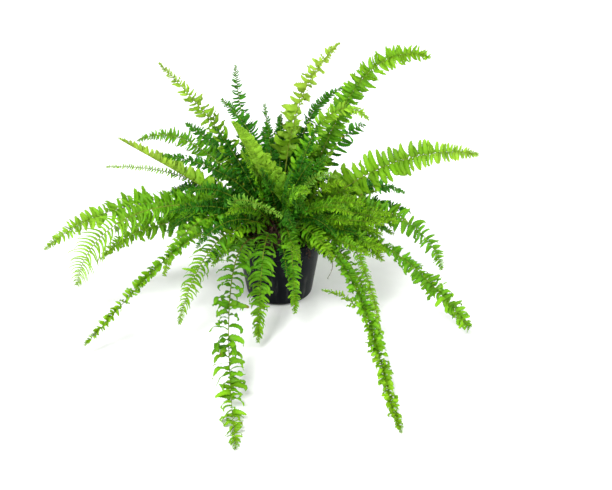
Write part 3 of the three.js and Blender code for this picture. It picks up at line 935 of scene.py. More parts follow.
def grime_group():
    """Masks for dust, streaks and speckle that several plain surfaces share."""
    inputs = [
        ("Scale", NUMBER, 30.0), ("Stretch", NUMBER, 1.0), ("Low", NUMBER, 0.45), ("High", NUMBER, 0.75),
    ]
    outputs = [("Mask", NUMBER), ("Grain", NUMBER), ("Height", NUMBER)]
    tree, graph, given, result = new_group("Grime and grain", inputs, outputs)
    place = graph.place()
    stretched = graph.node("ShaderNodeVectorMath", operation="MULTIPLY")
    graph.feed(stretched.inputs[0], place)
    factor = graph.node("ShaderNodeCombineXYZ")
    for socket, value in zip(factor.inputs, (1.0, 1.0, given["Stretch"])):
        graph.feed(socket, value)
    graph.feed(stretched.inputs[1], factor.outputs[0])
    patches = graph.noise(stretched.outputs[0], given["Scale"], 5.0, 0.62)
    grain = graph.noise(place, 1400.0, 3.0, 0.6)
    mask = graph.span(patches, given["Low"], given["High"])
    graph.feed(result["Mask"], mask)
    graph.feed(result["Grain"], grain)
    graph.feed(result["Height"], graph.plus(graph.times(patches, 0.6), grain))
    return tree


def shared_group(name):
    """The named group, built the first time it is asked for."""
    builders = {"Leaf surface": leaf_surface_group, "Grime and grain": grime_group}
    return bpy.data.node_groups.get(name) or builders[name]()


def placed_group(graph, name, **values):
    """The named group placed in a material with its own values."""
    made = graph.node("ShaderNodeGroup")
    made.node_tree = shared_group(name)
    for label, value in values.items():
        graph.feed(made.inputs[label.replace("_", " ")], value)
    return made


def new_material(name):
    """A material with a Principled shader, and its graph, shader and output."""
    material = bpy.data.materials.new(name)
    material.use_nodes = True
    tree = material.node_tree
    tree.nodes.clear()
    graph = Graph(tree)
    shader = graph.node("ShaderNodeBsdfPrincipled")
    output = graph.node("ShaderNodeOutputMaterial")
    graph.feed(output.inputs["Surface"], shader.outputs[0])
    return material, graph, shader, output


def add_bump(graph, shader, height, distance, strength=1.0):
    """Relief from a height value."""
    bump = graph.node("ShaderNodeBump")
    bump.inputs["Strength"].default_value = strength
    bump.inputs["Distance"].default_value = distance
    graph.feed(bump.inputs["Height"], height)
    graph.feed(shader.inputs["Normal"], bump.outputs[0])


# For each skin of leaflets: its slot, how much its leaflets vary, where along the frond the tip's
# colour starts, and the share of the light that passes through.
LEAF_SKINS = {
    "mature": dict(slot="leaf_mature", variation=0.5, tip_start=0.3, glow=0.22),
    # The young skin's pale tips are partly painted light shining through.
    "young": dict(slot="leaf_young", variation=0.35, tip_start=0.4, glow=0.3),
    "lime": dict(slot="leaf_young", variation=0.4, tip_start=0.35, glow=0.26),
    # The pale skin is partly the duller underside and partly painted sheen.
    "pale": dict(slot="leaf_mature", variation=0.5, tip_start=0.1, glow=0.24),
    # The shade skin is painted shade, a darker copy of the leaf greens.
    "shade": dict(slot="leaf_shade", variation=0.5, tip_start=0.45, glow=0.18),
}


def leaf_material(skin, leaf, tip):
    """A leaflet's skin in two greens, through which some light passes."""
    ways = LEAF_SKINS[skin]
    material, graph, shader, output = new_material("leaf_" + skin)
    surface = placed_group(
        graph, "Leaf surface", Leaf=rgb(leaf), Tip=rgb(tip),
        Variation=ways["variation"], Tip_start=ways["tip_start"],
    )
    graph.feed(shader.inputs["Base Color"], surface.outputs["Colour"])
    graph.feed(shader.inputs["Roughness"], surface.outputs["Roughness"])
    shader.inputs["Specular IOR Level"].default_value = 0.16
    add_bump(graph, shader, surface.outputs["Height"], 0.25 * MM, 0.6)
    # The light that comes through is paler than the skin. Its weakening near the crown is painted
    # shade, as on the skin.
    age, tone = graph.painted("leaf_age"), graph.painted("leaf_tone")
    through_leaf = graph.blend(graph.span(age, 0.0, 0.7, 0.55, 0.85), rgb(leaf), rgb(tip))
    dimmed = graph.span(tone, 0.0, 1.0, 0.85, 1.05)
    dimmed = graph.times(graph.span(age, 0.05, 0.38, 0.72, 1.0), dimmed)
    behind = graph.node("ShaderNodeBsdfTranslucent")
    graph.feed(behind.inputs["Color"], graph.blend(1.0, through_leaf, dimmed, "MULTIPLY"))
    mix = graph.node("ShaderNodeMixShader")
    mix.inputs[0].default_value = ways["glow"]
    graph.feed(mix.inputs[1], shader.outputs[0])
    graph.feed(mix.inputs[2], behind.outputs[0])
    graph.feed(output.inputs["Surface"], mix.outputs[0])
    return material


def stalk_material(colours):
    """Green stalk that turns brown and scaly towards the crown."""
    material, graph, shader, _ = new_material("fern_stalk")
    grime = placed_group(graph, "Grime and grain", Scale=260.0, Stretch=0.35, Low=0.4, High=0.7)
    foot = graph.span(graph.painted("leaf_age"), 0.34, 0.04)
    scaly = graph.plus(foot, graph.times(grime.outputs["Mask"], 0.25), clamp=True)
    skin = graph.blend(scaly, rgb(colours.stalk), rgb(colours.stalk_foot))
    graph.feed(shader.inputs["Base Color"], skin)
    graph.feed(shader.inputs["Roughness"], graph.span(grime.outputs["Grain"], 0.2, 0.8, 0.4, 0.65))
    shader.inputs["Specular IOR Level"].default_value = 0.2
    add_bump(graph, shader, grime.outputs["Height"], 0.2 * MM, 0.5)
    return material


def pot_material(colours):
    """Black moulded plastic with upright streaks, fine grain and a little dust."""
    material, graph, shader, _ = new_material("pot_plastic")
    streaks = placed_group(graph, "Grime and grain", Scale=85.0, Stretch=0.05, Low=0.5, High=0.74)
    dust = placed_group(graph, "Grime and grain", Scale=16.0, Stretch=0.6, Low=0.5, High=0.85)
    pale = graph.times(streaks.outputs["Mask"], 0.4)
    pale = graph.plus(pale, graph.times(dust.outputs["Mask"], 0.07), clamp=True)
    graph.feed(shader.inputs["Base Color"], graph.blend(pale, rgb(colours.pot), rgb(colours.pot_dust)))
    grain = graph.span(dust.outputs["Grain"], 0.2, 0.8, 0.3, 0.4)
    rough = graph.plus(graph.times(pale, 0.6), grain)
    graph.feed(shader.inputs["Roughness"], rough)
    shader.inputs["Specular IOR Level"].default_value = 0.06
    add_bump(graph, shader, streaks.outputs["Height"], 0.3 * MM, 0.35)
    return material


def crumbly_material(name, dark, pale, scale, low, high):
    """A rough plant material in two browns, such as peat or dry scales. Its pale patches have this scale,
    and show where the noise passes from low to high."""
    material, graph, shader, _ = new_material(name)
    grime = placed_group(graph, "Grime and grain", Scale=scale, Stretch=1.0, Low=low, High=high)
    graph.feed(shader.inputs["Base Color"], graph.blend(grime.outputs["Mask"], rgb(dark), rgb(pale)))
    graph.feed(shader.inputs["Roughness"], graph.span(grime.outputs["Grain"], 0.2, 0.8, 0.75, 0.95))
    add_bump(graph, shader, grime.outputs["Height"], 1.0 * MM, 0.8)
    return material


def make_materials():
    """Every material of the plant, by a short name."""
    colours = bpy.context.scene.fern_colour
    made = {
        skin: leaf_material(skin, getattr(colours, skin), getattr(colours, skin + "_tip"))
        for skin in LEAF_SKINS
    }
    made["stalk"] = stalk_material(colours)
    made["pot"] = pot_material(colours)
    made["mix"] = crumbly_material("potting_mix", colours.mix, colours.mix_dry, 180.0, 0.45, 0.7)
    made["crown"] = crumbly_material("crown_scales", colours.crown, colours.crown_dry, 320.0, 0.5, 0.8)
    made["runner"] = crumbly_material("dry_runner", colours.runner, colours.crown_dry, 400.0, 0.4, 0.9)
    return made


MATERIALS = {}


def material(name):
    """A material by its short name."""
    if not MATERIALS:
        MATERIALS.update(make_materials())
    return MATERIALS[name]


# ---- pieces -------------------------------------------------------------------------------------


def settle(piece, slot, *nodes):
    """The piece rides on the plant's body and stands for its nodes. Its slot is not used."""
    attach(piece, BODY)
    if nodes:
        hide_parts(*nodes)


def seed_for(name):
    """A fixed seed for each piece's name."""
    return SEED + sum((place + 1) * ord(letter) for place, letter in enumerate(name))


def grow_frond(node):
    """One frond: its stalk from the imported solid, and its leaflets."""
    leaf = bpy.context.scene.fern_leaf
    way = way_of(node)
    stalk = stalk_of(node)
    builder = frond_mesh(stalk, way, leaf, np.random.default_rng(seed_for(node)))
    if node.split("_")[1] == "young":
        add_crozier(builder, stalk, leaf)
    piece = builder.build(node.replace("frond", "grown"), [material(way["leaf"]), material("stalk")])
    keep_above_floor(piece)
    settle(piece, LEAF_SKINS[way["leaf"]]["slot"], node)


def grow_habit(habit):
    """Every frond of one habit."""
    for node in FRONDS:
        if node.split("_")[1] == habit:
            grow_frond(node)


# For each kind of small frond: the least and most of its compass direction and rise in degrees, its
# length in millimetres and its bow in degrees, and the skins that its fronds take in turn.
MOSTLY_SHADED = ("shade", "mature", "shade", "shade")
SMALL_FRONDS = {
    "low": dict(compass=(-82, 218), rise=(24, 54), size=(80, 140), bow=(40, 90), skins=MOSTLY_SHADED),
    "middle": dict(
        compass=(-80, 240), rise=(38, 72), size=(140, 215), bow=(45, 110), skins=MOSTLY_SHADED
    ),
    "tall": dict(compass=(0, 360), rise=(66, 84), size=(150, 215), bow=(8, 45), skins=MOSTLY_SHADED),
    "side": dict(compass=(-44, 16), rise=(26, 60), size=(115, 180), bow=(40, 78), skins=("mature",)),
}
# Reach of a small frond's leaflets in millimetres, and what each metre of its length adds.
SMALL_REACH, SMALL_REACH_GAIN = 6, 52
GOLDEN_SHARE = (math.sqrt(5) - 1) / 2
FRONT_AND_UP = np.array([0.0, -0.9, 0.44])


def facing_front(stalk, share_turned):
    """The stalk with its blade turned about it towards the front."""
    across, tangent = stalk.sideways, stalk.tangents
    facing = np.cross(across, tangent)
    angle = np.unwrap(np.arctan2(across @ FRONT_AND_UP, facing @ FRONT_AND_UP))
    angle = share_turned * angle * smooth_step(0.0, 0.4, stalk.reached / stalk.length)
    stalk.sideways = turned(across, tangent, angle)
    return stalk


def small_frond_path(chance, kind, number):
    """The midline of a short frond that springs from the crown and arches over."""
    low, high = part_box("crown")
    span = SMALL_FRONDS[kind]
    first, last = span["compass"]
    compass = math.radians(first + (last - first) * (GOLDEN_SHARE * number % 1))
    compass = compass + chance.uniform(-0.2, 0.2)
    rise = math.radians(chance.uniform(*span["rise"]))
    size = chance.uniform(*span["size"]) * MM
    flat = np.array([math.cos(compass), math.sin(compass), 0.0])
    radius, height = (high.x - low.x) / 2, high.z - low.z
    start = flat * radius * math.cos(rise) * 0.9 + np.array([0, 0, low.z + height * math.sin(rise)])
    points, heading = [start], rise
    steps = 10
    bow = math.radians(chance.uniform(*span["bow"])) / steps
    for _ in range(steps):
        step = flat * math.cos(heading) + np.array([0, 0, math.sin(heading)])
        points.append(points[-1] + step * size / steps)
        heading -= bow
    across = np.cross(flat, np.array([0, 0, 1.0]))
    stalk = Stalk(points, [across] * len(points), steps=8)
    return facing_front(stalk, chance.uniform(0.4, 1.0)), size


def grow_small_fronds():
    """Short fronds between the others. They are too small to carry solids of their own."""
    leaf = bpy.context.scene.fern_leaf
    for kind, ways in SMALL_FRONDS.items():
        for number in range(getattr(leaf, kind + "_fronds")):
            name = f"small_frond_{kind}_{number + 1}"
            chance = np.random.default_rng(seed_for(name))
            stalk, size = small_frond_path(chance, kind, number)
            skin = ways["skins"][number % len(ways["skins"])]
            # Their lower ageing lets the painted shade near the crown reach further out along them.
            way = dict(HABITS["inner"], reach=SMALL_REACH + SMALL_REACH_GAIN * size, ageing=0.75)
            builder = frond_mesh(stalk, way, leaf, chance, bare=0.08)
            piece = builder.build(name, [material(skin), material("stalk")])
            settle(piece, LEAF_SKINS[skin]["slot"])


def spin_profile(profile, segments):
    """A body of revolution about Z from (radius, height) points, in a bmesh."""
    body = bmesh.new()
    rings = []
    for radius, height in profile:
        if radius < 1e-6:
            rings.append([body.verts.new((0, 0, height))])
            continue
        ring = []
        for index in range(segments):
            angle = 2 * math.pi * index / segments
            ring.append(body.verts.new((radius * math.cos(angle), radius * math.sin(angle), height)))
        rings.append(ring)
    for lower, upper in zip(rings[:-1], rings[1:]):
        for index in range(segments):
            beside = (index + 1) % segments
            corners = [lower[index % len(lower)], lower[beside % len(lower)]]
            corners += [upper[beside % len(upper)], upper[index % len(upper)]]
            distinct = list(dict.fromkeys(corners))
            if len(distinct) > 2:
                body.faces.new(distinct)
    bmesh.ops.recalc_face_normals(body, faces=body.faces)
    return body


def object_from(body, name, materials):
    """A smooth object from a bmesh."""
    mesh = bpy.data.meshes.new(name)
    body.to_mesh(mesh)
    body.free()
    for each in materials:
        mesh.materials.append(each)
    mesh.polygons.foreach_set("use_smooth", [True] * len(mesh.polygons))
    return new_object(name, mesh)


def rounded(corner, before, after, radius, steps=5):
    """Points of an arc-like fillet at a corner of a profile."""
    corner, before, after = (np.array(point, float) for point in (corner, before, after))
    start = corner + unit(before - corner) * radius
    end = corner + unit(after - corner) * radius
    points = []
    for step in range(steps + 1):
        done = step / steps
        bend = (1 - done) ** 2 * start + 2 * done * (1 - done) * corner + done**2 * end
        points.append(tuple(bend))
    return points


def filleted(profile, radii):
    """The profile with its corners rounded, except its two ends."""
    points = [profile[0]]
    for before, corner, after, radius in zip(profile, profile[1:], profile[2:], radii[1:]):
        points += rounded(corner, before, after, radius)
    return points + [profile[-1]]


# How much narrower the base is than the rim, thickness of the wall and of the floor, and height of
# the base's sloped edge. Then the collar's height, and how far it stands out from the wall.
POT_TAPER, POT_WALL, POT_FLOOR, POT_FOOT = 19 * MM, 1.6 * MM, 2 * MM, 5 * MM
COLLAR_HEIGHT, COLLAR_STEP = 19 * MM, 3 * MM
# Fillet at each corner of the pot's section, in millimetres, counted from the middle of the base.
POT_FILLETS = [0, 1.5, 3, 0.5, 0.5, 0.3, 0.3, 0.45, 0.45, 0.8, 0.8, 2, 1]
DRAIN_HOLES = 8
DRAIN_CIRCLE = 48 * MM
DRAIN_RADIUS = 6 * MM


def pot_profile(rim, top):
    """The pot's section in metres: base with a sloped edge, wall, stepped collar and rolled lip."""
    base, neck, neck_height = rim - POT_TAPER, rim - COLLAR_STEP, top - COLLAR_HEIGHT
    foot = base + (neck - base) / neck_height * POT_FOOT
    outer = [
        (0, 0), (base - 5 * MM, 0), (foot, POT_FOOT), (neck, neck_height),
        (rim - 0.6 * MM, neck_height + 1.2 * MM), (rim - 0.9 * MM, top - 3 * MM),
        (rim, top - 2.2 * MM), (rim, top),
    ]
    inner = [
        (rim - POT_WALL - 1.0 * MM, top), (rim - POT_WALL - 1.4 * MM, neck_height + 2 * MM),
        (neck - POT_WALL, neck_height), (foot - POT_WALL, POT_FOOT + MM),
        (base - 5 * MM - POT_WALL, POT_FLOOR), (0, POT_FLOOR),
    ]
    return filleted(outer + inner, [radius * MM for radius in POT_FILLETS])


def cut_drain_holes(piece):
    """Cuts the ring of holes through the base."""
    cutter = bmesh.new()
    for index in range(DRAIN_HOLES):
        angle = 2 * math.pi * (index + 0.5) / DRAIN_HOLES
        made = bmesh.ops.create_cone(
            cutter, cap_ends=True, segments=28,
            radius1=DRAIN_RADIUS, radius2=DRAIN_RADIUS, depth=4 * POT_FLOOR,
        )
        shift = (DRAIN_CIRCLE * math.cos(angle), DRAIN_CIRCLE * math.sin(angle), 0)
        bmesh.ops.translate(cutter, verts=made["verts"], vec=shift)
    tool = object_from(cutter, "drain_hole_cutter", [])
    cut = piece.modifiers.new("drain_holes", "BOOLEAN")
    cut.operation, cut.solver, cut.object = "DIFFERENCE", "EXACT", tool
    bpy.context.view_layer.update()
    shaped = bpy.data.meshes.new_from_object(piece.evaluated_get(bpy.context.evaluated_depsgraph_get()))
    piece.modifiers.clear()
    piece.data = shaped
    bpy.data.objects.remove(tool)


def make_pot():
    """The black pot."""
    _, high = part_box("pot")
    profile = pot_profile(high.x, high.z)
    piece = object_from(spin_profile(profile, 144), "nursery_pot", [material("pot")])
    cut_drain_holes(piece)
    piece.data.set_sharp_from_angle(angle=math.radians(40))
    settle(piece, "pot_plastic", "pot")


def rumple(point, strength, scale, seed):
    """A height from layered noise at a place."""
    place = Vector((point[0] * scale + seed, point[1] * scale, point[2] * scale))
    return strength * noise.fractal(place, 0.6, 2.1, 4)


# Radius of the mix at the pot's floor and above its sloped edge, and how high that is.
MIX_BASE, MIX_FOOT, MIX_FOOT_HEIGHT = 48.5 * MM, 54.5 * MM, 6 * MM
# How far the mix has sunk at the wall, and the radius outside which the crown doesn't cover it.
MIX_SINK, BARE_FROM = 5 * MM, 46 * MM
CRUMBS = 260


def sunk(share_out):
    """How far the mix has sunk below its top at a share of the way out to the wall."""
    return MIX_SINK * float(smooth_step(0.68, 1.0, share_out))


def make_potting_mix():
    """The crumbly top of the mix, on a plain body that fills the pot."""
    low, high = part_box("potting_mix")
    top, bottom, wall = high.z, low.z, high.x
    profile = [
        (0, bottom), (MIX_BASE, bottom), (MIX_FOOT, bottom + MIX_FOOT_HEIGHT),
        (wall, top - 8 * MM), (wall - 0.8 * MM, top - 6.6 * MM),
    ]
    rings = 26
    edge = wall - 2.5 * MM
    for ring in range(rings):
        share_out = 1 - ring / rings
        profile.append((edge * share_out, top - sunk(share_out) - 0.6 * MM))
    profile.append((0, top - 0.6 * MM))
    body = spin_profile(profile, 120)
    for vertex in body.verts:
        flat = math.hypot(vertex.co.x, vertex.co.y)
        if vertex.co.z > top - 6 * MM and flat < edge + 0.1 * MM:
            rise = rumple(vertex.co, 1.3 * MM, 160, 3.0) + rumple(vertex.co, 0.5 * MM, 520, 9.0)
            vertex.co.z += rise if flat > BARE_FROM else min(rise, 0)
    add_crumbs(body, edge, top)
    piece = object_from(body, "potting_mix_top", [material("mix")])
    settle(piece, "potting_mix", "potting_mix")


def add_crumbs(body, edge, top):
    """Loose crumbs and bark chips that lie on the mix beside the crown."""
    chance = random.Random(SEED)
    for _ in range(CRUMBS):
        angle, radius = chance.uniform(0, 2 * math.pi), chance.uniform(50 * MM, edge - 2 * MM)
        made = bmesh.ops.create_icosphere(body, subdivisions=1, radius=1.0)
        size = chance.uniform(0.7, 2.2) * MM
        shape = Vector((size, size * chance.uniform(0.4, 0.9), size * chance.uniform(0.3, 0.6)))
        turn = Euler([chance.uniform(-0.5, 0.5), chance.uniform(-0.5, 0.5), chance.uniform(0, ROUND)])
        height = top - sunk(radius / edge) - 0.2 * MM
        centre = Vector((radius * math.cos(angle), radius * math.sin(angle), height))
        for vertex in made["verts"]:
            vertex.co *= shape
            vertex.co.rotate(turn)
            vertex.co *= 1 + chance.uniform(-0.15, 0.15)
            vertex.co += centre


STUBS, SCALES = 150, 420


class Dome:
    """The crown's rounded body, in the box of its solid."""

    def __init__(self):
        low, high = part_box("crown")
        self.radius, self.base, self.height = high.x, low.z, high.z - low.z

    def at(self, compass, rise):
        """A point on the dome and the direction straight out of it."""
        flat = math.cos(rise)
        out = np.array([flat * math.cos(compass), flat * math.sin(compass), math.sin(rise)])
        sizes = np.array([self.radius, self.radius, self.height])
        point = out * sizes + np.array([0, 0, self.base])
        return point, unit(unit(out / sizes) + out)


def make_crown():
    """The matted crown: a rough dome, old stalk stubs that lean outwards, and loose brown scales."""
    dome, builder = Dome(), MeshBuilder()
    add_dome(builder, dome)
    chance = random.Random(SEED + 1)
    for _ in range(STUBS):
        compass, rise = chance.uniform(0, 2 * math.pi), math.radians(chance.uniform(4, 88))
        longer = 3 if chance.random() > 0.5 else 1
        add_stub(builder, *dome.at(compass, rise), longer * chance.uniform(4, 9) * MM, chance)
    for _ in range(SCALES):
        compass, rise = chance.uniform(0, 2 * math.pi), math.radians(chance.uniform(2, 90))
        add_scale(builder, *dome.at(compass, rise), chance)
    piece = builder.build("crown_mat", [material("crown")])
    settle(piece, "crown_fibre", "crown")


def add_dome(builder, dome):
    """The crown's rough body."""
    rings, sides = 14, 60
    points = [(0.0, 0.0, dome.base)]
    for ring in range(rings):
        rise = math.pi / 2 * ring / rings
        for side in range(sides):
            point, normal = dome.at(2 * math.pi * side / sides, rise)
            bumped = point + normal * (rumple(point, 2.2 * MM, 120, 5.0) - 1.6 * MM) * (ring > 0)
            points.append(tuple(bumped))
    points.append((0.0, 0.0, dome.base + dome.height - 1.5 * MM))
    faces = []
    for side in range(sides):
        beside = (side + 1) % sides
        faces.append((0, 1 + beside, 1 + side))
        for ring in range(rings - 1):
            here, above = 1 + ring * sides, 1 + (ring + 1) * sides
            faces.append((here + side, here + beside, above + beside, above + side))
        top = 1 + (rings - 1) * sides
        faces.append((top + side, top + beside, len(points) - 1))
    builder.add(np.array(points), faces, 0, 0.0, 0.5, 0.5, 0.0, 0.0)


def any_way(chance, most):
    """A random step, up to this much along each axis."""
    return np.array([chance.uniform(-most, most) for _ in range(3)])


def add_stub(builder, point, normal, size, chance):
    """The dry foot of an old stalk."""
    lean = unit(normal + any_way(chance, 0.3) + np.array([0, 0, 0.25]))
    tip = point + lean * size + normal * 0.5 * MM
    thick = chance.uniform(0.8, 1.6) * MM
    radii = [thick * 1.3, thick, thick * 0.85, thick * 0.6]
    path = [point - normal * 3 * MM, point, point + lean * size * 0.5, tip]
    add_tube(builder, path, radii, 6, 0, tone=chance.random())


def add_scale(builder, point, normal, chance):
    """One narrow papery scale, bowed outwards."""
    lean = unit(normal + any_way(chance, 0.9))
    size = chance.uniform(4, 9) * MM
    bow = point + lean * size * 0.75 + normal * MM
    path = [point - normal * 2 * MM, point + lean * size * 0.4, bow, point + lean * size]
    thick = chance.uniform(0.25, 0.5) * MM
    add_tube(builder, path, [thick, thick, thick * 0.7, thick * 0.2], 3, 0, tone=chance.random())


# Points along each runner and along the dead frond, in millimetres.
RUNNER_ROUTES = {
    "runner_1": [(46, -34, 112), (68, -58, 126), (86, -76, 112), (90, -82, 88), (82, -80, 66)],
    "runner_2": [(51, 3, 110), (82, 6, 122), (140, 12, 129), (196, 22, 140), (240, 34, 158)],
}
DRY_FROND_ROUTE = [(34, -30, 114), (44, -46, 123), (50, -58, 119), (52, -60.5, 106), (51.5, -60, 94)]
RUNNER_HAIRS = 60


def make_runner(node, route):
    """A bare wiry runner with fine hairs along it."""
    builder = MeshBuilder()
    path = through(np.array(route) * MM, 10)
    add_tube(builder, path, np.linspace(0.8, 0.35, len(path)) * MM, 6, 0)
    chance = random.Random(seed_for(node))
    tangents = unit(np.gradient(path, axis=0))
    for _ in range(RUNNER_HAIRS):
        index = chance.randrange(2, len(path) - 1)
        lean = unit(np.cross(tangents[index], any_way(chance, 1)) + 0.5 * tangents[index])
        hair = chance.uniform(1.5, 4.0) * MM
        points = [path[index], path[index] + lean * hair * 0.5, path[index] + lean * hair]
        add_tube(builder, points, [0.16 * MM, 0.12 * MM, 0.05 * MM], 3, 0)
    piece = builder.build(node.replace("runner", "wiry_runner"), [material("runner")])
    settle(piece, "runner_stem", node)


def make_dry_frond():
    """A small dead frond, brown and rolled up, that hangs over the rim."""
    chance = np.random.default_rng(SEED + 7)
    points = np.array(DRY_FROND_ROUTE) * MM
    stalk = Stalk(points, [np.array([0.9, 0.4, 0.0])] * len(points), steps=12)
    way = dict(HABITS["curled"], reach=9, spacing=1.1, wave=1.6, hook=2.4, droop=0.7, gaps=0.3)
    builder = frond_mesh(stalk, way, bpy.context.scene.fern_leaf, chance, bare=0.5)
    piece = builder.build("dry_frond", [material("crown"), material("crown")])
    settle(piece, "crown_fibre")


# ---- stage --------------------------------------------------------------------------------------


# Radius and height of the floor's rings, in metres.
FLOOR_PROFILE = [(0, 0), (3.0, 0), (5.0, 0), (6.2, 0.25), (6.9, 0.9), (7.1, 2.0), (7.1, 4.0)]
# Distances between which the floor begins to glow, and how strongly it does beyond them.
GLOW_FROM, GLOW_FULL, GLOW = 3.0, 6.5, 0.65
SIDE_LIGHT_AT, SIDE_LIGHT_AIM, SIDE_LIGHT_SIZE = (1.5, 0.1, 0.55), (0, 0, 0.1), 0.9
# The way that the key light falls, and the angle that it covers in the sky.
KEY_LIGHT_WAY, KEY_LIGHT_ANGLE = (0.45, 0.6, -1.15), math.radians(28)
SENSOR_WIDTH, CLIP_START, CLIP_END = 36.0, 0.05, 50.0


def make_floor(stage):
    """A wide plain floor that turns up far away."""
    piece = object_from(spin_profile(FLOOR_PROFILE, 96), "studio_floor", [floor_material(stage)])


def floor_material(stage):
    """Matte white with the faintest grain. The far wall glows a little, so that it stays white on the
    side away from the key light."""
    made, graph, shader, _ = new_material("studio_white")
    grain = graph.noise(graph.place(), 40.0, 2.0)
    pale = graph.blend(graph.span(grain, 0.3, 0.7), rgb(stage.floor), (0.92, 0.92, 0.92, 1))
    graph.feed(shader.inputs["Base Color"], pale)
    shader.inputs["Roughness"].default_value = 0.9
    shader.inputs["Specular IOR Level"].default_value = 0.0
    distance = graph.node("ShaderNodeVectorMath", operation="LENGTH")
    graph.feed(distance.inputs[0], graph.place())
    shader.inputs["Emission Color"].default_value = (1, 1, 1, 1)
    glow = graph.span(distance.outputs["Value"], GLOW_FROM, GLOW_FULL, 0.0, GLOW)
    graph.feed(shader.inputs["Emission Strength"], glow)
    return made


def make_side_light(stage):
    """A large soft panel at the right."""
    lamp = bpy.data.lights.new("side_light", "AREA")
    lamp.shape, lamp.size, lamp.energy = "DISK", SIDE_LIGHT_SIZE, stage.side
    light = new_object("side_light", lamp)
    light.location = SIDE_LIGHT_AT
    aim = Vector(SIDE_LIGHT_AIM) - Vector(SIDE_LIGHT_AT)
    light.rotation_euler = aim.to_track_quat("-Z", "Y").to_euler()


def make_sun(stage):
    """A soft light from the upper left that reaches the whole floor evenly."""
    lamp = bpy.data.lights.new("key_light", "SUN")
    lamp.energy, lamp.angle = stage.key, KEY_LIGHT_ANGLE
    light = new_object("key_light", lamp)
    light.rotation_euler = Vector(KEY_LIGHT_WAY).to_track_quat("-Z", "Y").to_euler()


def make_world(stage):
    """Even white light all round."""
    world = bpy.data.worlds.new("studio")
    world.use_nodes = True
    background = world.node_tree.nodes["Background"]
    background.inputs[0].default_value = (1, 1, 1, 1)
    background.inputs[1].default_value = stage.sky
    bpy.context.scene.world = world


def make_camera(stage):
    """The camera looks down at the plant from the front."""
    lens = bpy.data.cameras.new("camera")
    lens.lens, lens.sensor_width = stage.lens, SENSOR_WIDTH
    lens.clip_start, lens.clip_end = CLIP_START, CLIP_END
    camera = new_object("camera", lens)
    back = Vector((0, -math.cos(stage.elevation), math.sin(stage.elevation)))
    camera.location = Vector(stage.aim) + back * stage.distance
    camera.rotation_euler = (math.pi / 2 - stage.elevation, 0, 0)
    bpy.context.scene.camera = camera


# ---- operators ----------------------------------------------------------------------------------


class FernOperator(bpy.types.Operator):
    """Grows one part of the plant."""

    bl_options = {"REGISTER", "UNDO"}


class FERN_OT_pot(FernOperator):
    """Turns the black nursery pot with its collar, lip and drain holes"""

    bl_idname = "fern.pot"
    bl_label = "Pot"

    def execute(self, context):
        make_pot()
        return {"FINISHED"}


class FERN_OT_potting_mix(FernOperator):
    """Fills the pot with crumbly potting mix"""

    bl_idname = "fern.potting_mix"
    bl_label = "Potting mix"

    def execute(self, context):
        make_potting_mix()
        return {"FINISHED"}


class FERN_OT_crown(FernOperator):
    """Makes the brown crown with its scales and old stalk stubs"""

    bl_idname = "fern.crown"
    bl_label = "Crown"

    def execute(self, context):
        make_crown()
        return {"FINISHED"}


class FERN_OT_fronds(FernOperator):
    """Grows the leaflets of every frond of one habit"""

    bl_idname = "fern.fronds"
    bl_label = "Fronds"

    habit: bpy.props.EnumProperty(
        name="Habit",
        description="Which fronds to grow",
        items=[(habit, habit.capitalize(), f"The {habit} fronds") for habit in HABITS],
    )

    def execute(self, context):
        grow_habit(self.habit)
        return {"FINISHED"}


class FERN_OT_small_fronds(FernOperator):
    """Grows the short fronds that fill the heart of the plant"""

    bl_idname = "fern.small_fronds"
    bl_label = "Small fronds"

    def execute(self, context):
        grow_small_fronds()
        return {"FINISHED"}


class FERN_OT_dry_frond(FernOperator):
    """Hangs a small dead frond over the rim"""

    bl_idname = "fern.dry_frond"
    bl_label = "Dry frond"

    def execute(self, context):
        make_dry_frond()
        return {"FINISHED"}


class FERN_OT_runners(FernOperator):
    """Makes the bare runners"""

    bl_idname = "fern.runners"
    bl_label = "Runners"

    def execute(self, context):
        for node, route in RUNNER_ROUTES.items():
            make_runner(node, route)
        return {"FINISHED"}


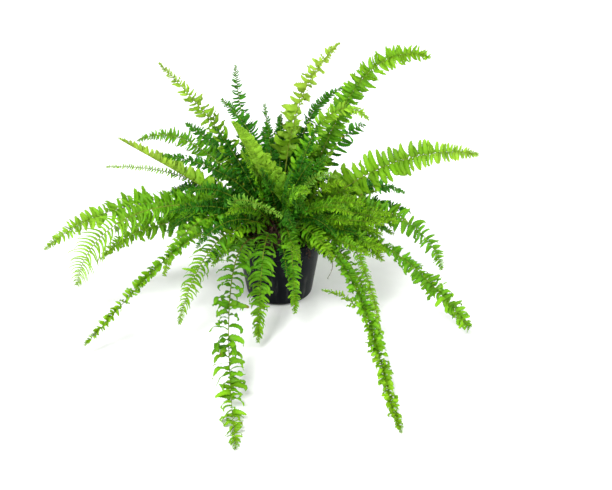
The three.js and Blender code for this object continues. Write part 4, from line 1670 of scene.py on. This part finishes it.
class FERN_OT_stage(FernOperator):
    """Sets up the floor, the light and the camera"""

    bl_idname = "fern.stage"
    bl_label = "Stage"

    def execute(self, context):
        stage = context.scene.fern_stage
        make_floor(stage)
        make_world(stage)
        make_sun(stage)
        make_side_light(stage)
        make_camera(stage)
        context.scene.view_settings.view_transform = "Standard"
        return {"FINISHED"}


class FERN_PT_panel(bpy.types.Panel):
    """Lists the steps that make the potted fern."""

    bl_label = "Potted fern"
    bl_idname = "FERN_PT_panel"
    bl_space_type = "VIEW_3D"
    bl_region_type = "UI"
    bl_category = "Fern"

    def draw(self, context):
        layout = self.layout
        for step in (FERN_OT_pot, FERN_OT_potting_mix, FERN_OT_crown):
            layout.operator(step.bl_idname)
        for habit in HABITS:
            layout.operator(FERN_OT_fronds.bl_idname, text=f"{habit.capitalize()} fronds").habit = habit
        for step in (FERN_OT_small_fronds, FERN_OT_dry_frond, FERN_OT_runners, FERN_OT_stage):
            layout.operator(step.bl_idname)
        for group in SETTINGS:
            box = layout.box()
            for field in getattr(context.scene, group).__annotations__:
                box.prop(getattr(context.scene, group), field)


CLASSES = (
    *SETTINGS.values(),
    FERN_OT_pot,
    FERN_OT_potting_mix,
    FERN_OT_crown,
    FERN_OT_fronds,
    FERN_OT_small_fronds,
    FERN_OT_dry_frond,
    FERN_OT_runners,
    FERN_OT_stage,
    FERN_PT_panel,
)


def register():
    """Registers the classes and hangs the settings on the scene."""
    for each in CLASSES:
        bpy.utils.register_class(each)
    for name, group in SETTINGS.items():
        setattr(bpy.types.Scene, name, bpy.props.PointerProperty(type=group))


def unregister():
    """Takes the settings and the classes away again."""
    for name in SETTINGS:
        delattr(bpy.types.Scene, name)
    for each in reversed(CLASSES):
        bpy.utils.unregister_class(each)


def main():
    """Makes the whole plant and its stage."""
    register()
    bpy.ops.fern.stage()
    bpy.ops.fern.pot()
    bpy.ops.fern.potting_mix()
    bpy.ops.fern.crown()
    for habit in HABITS:
        bpy.ops.fern.fronds(habit=habit)
    bpy.ops.fern.small_fronds()
    bpy.ops.fern.dry_frond()
    bpy.ops.fern.runners()


if __name__ == "__main__":
    main()
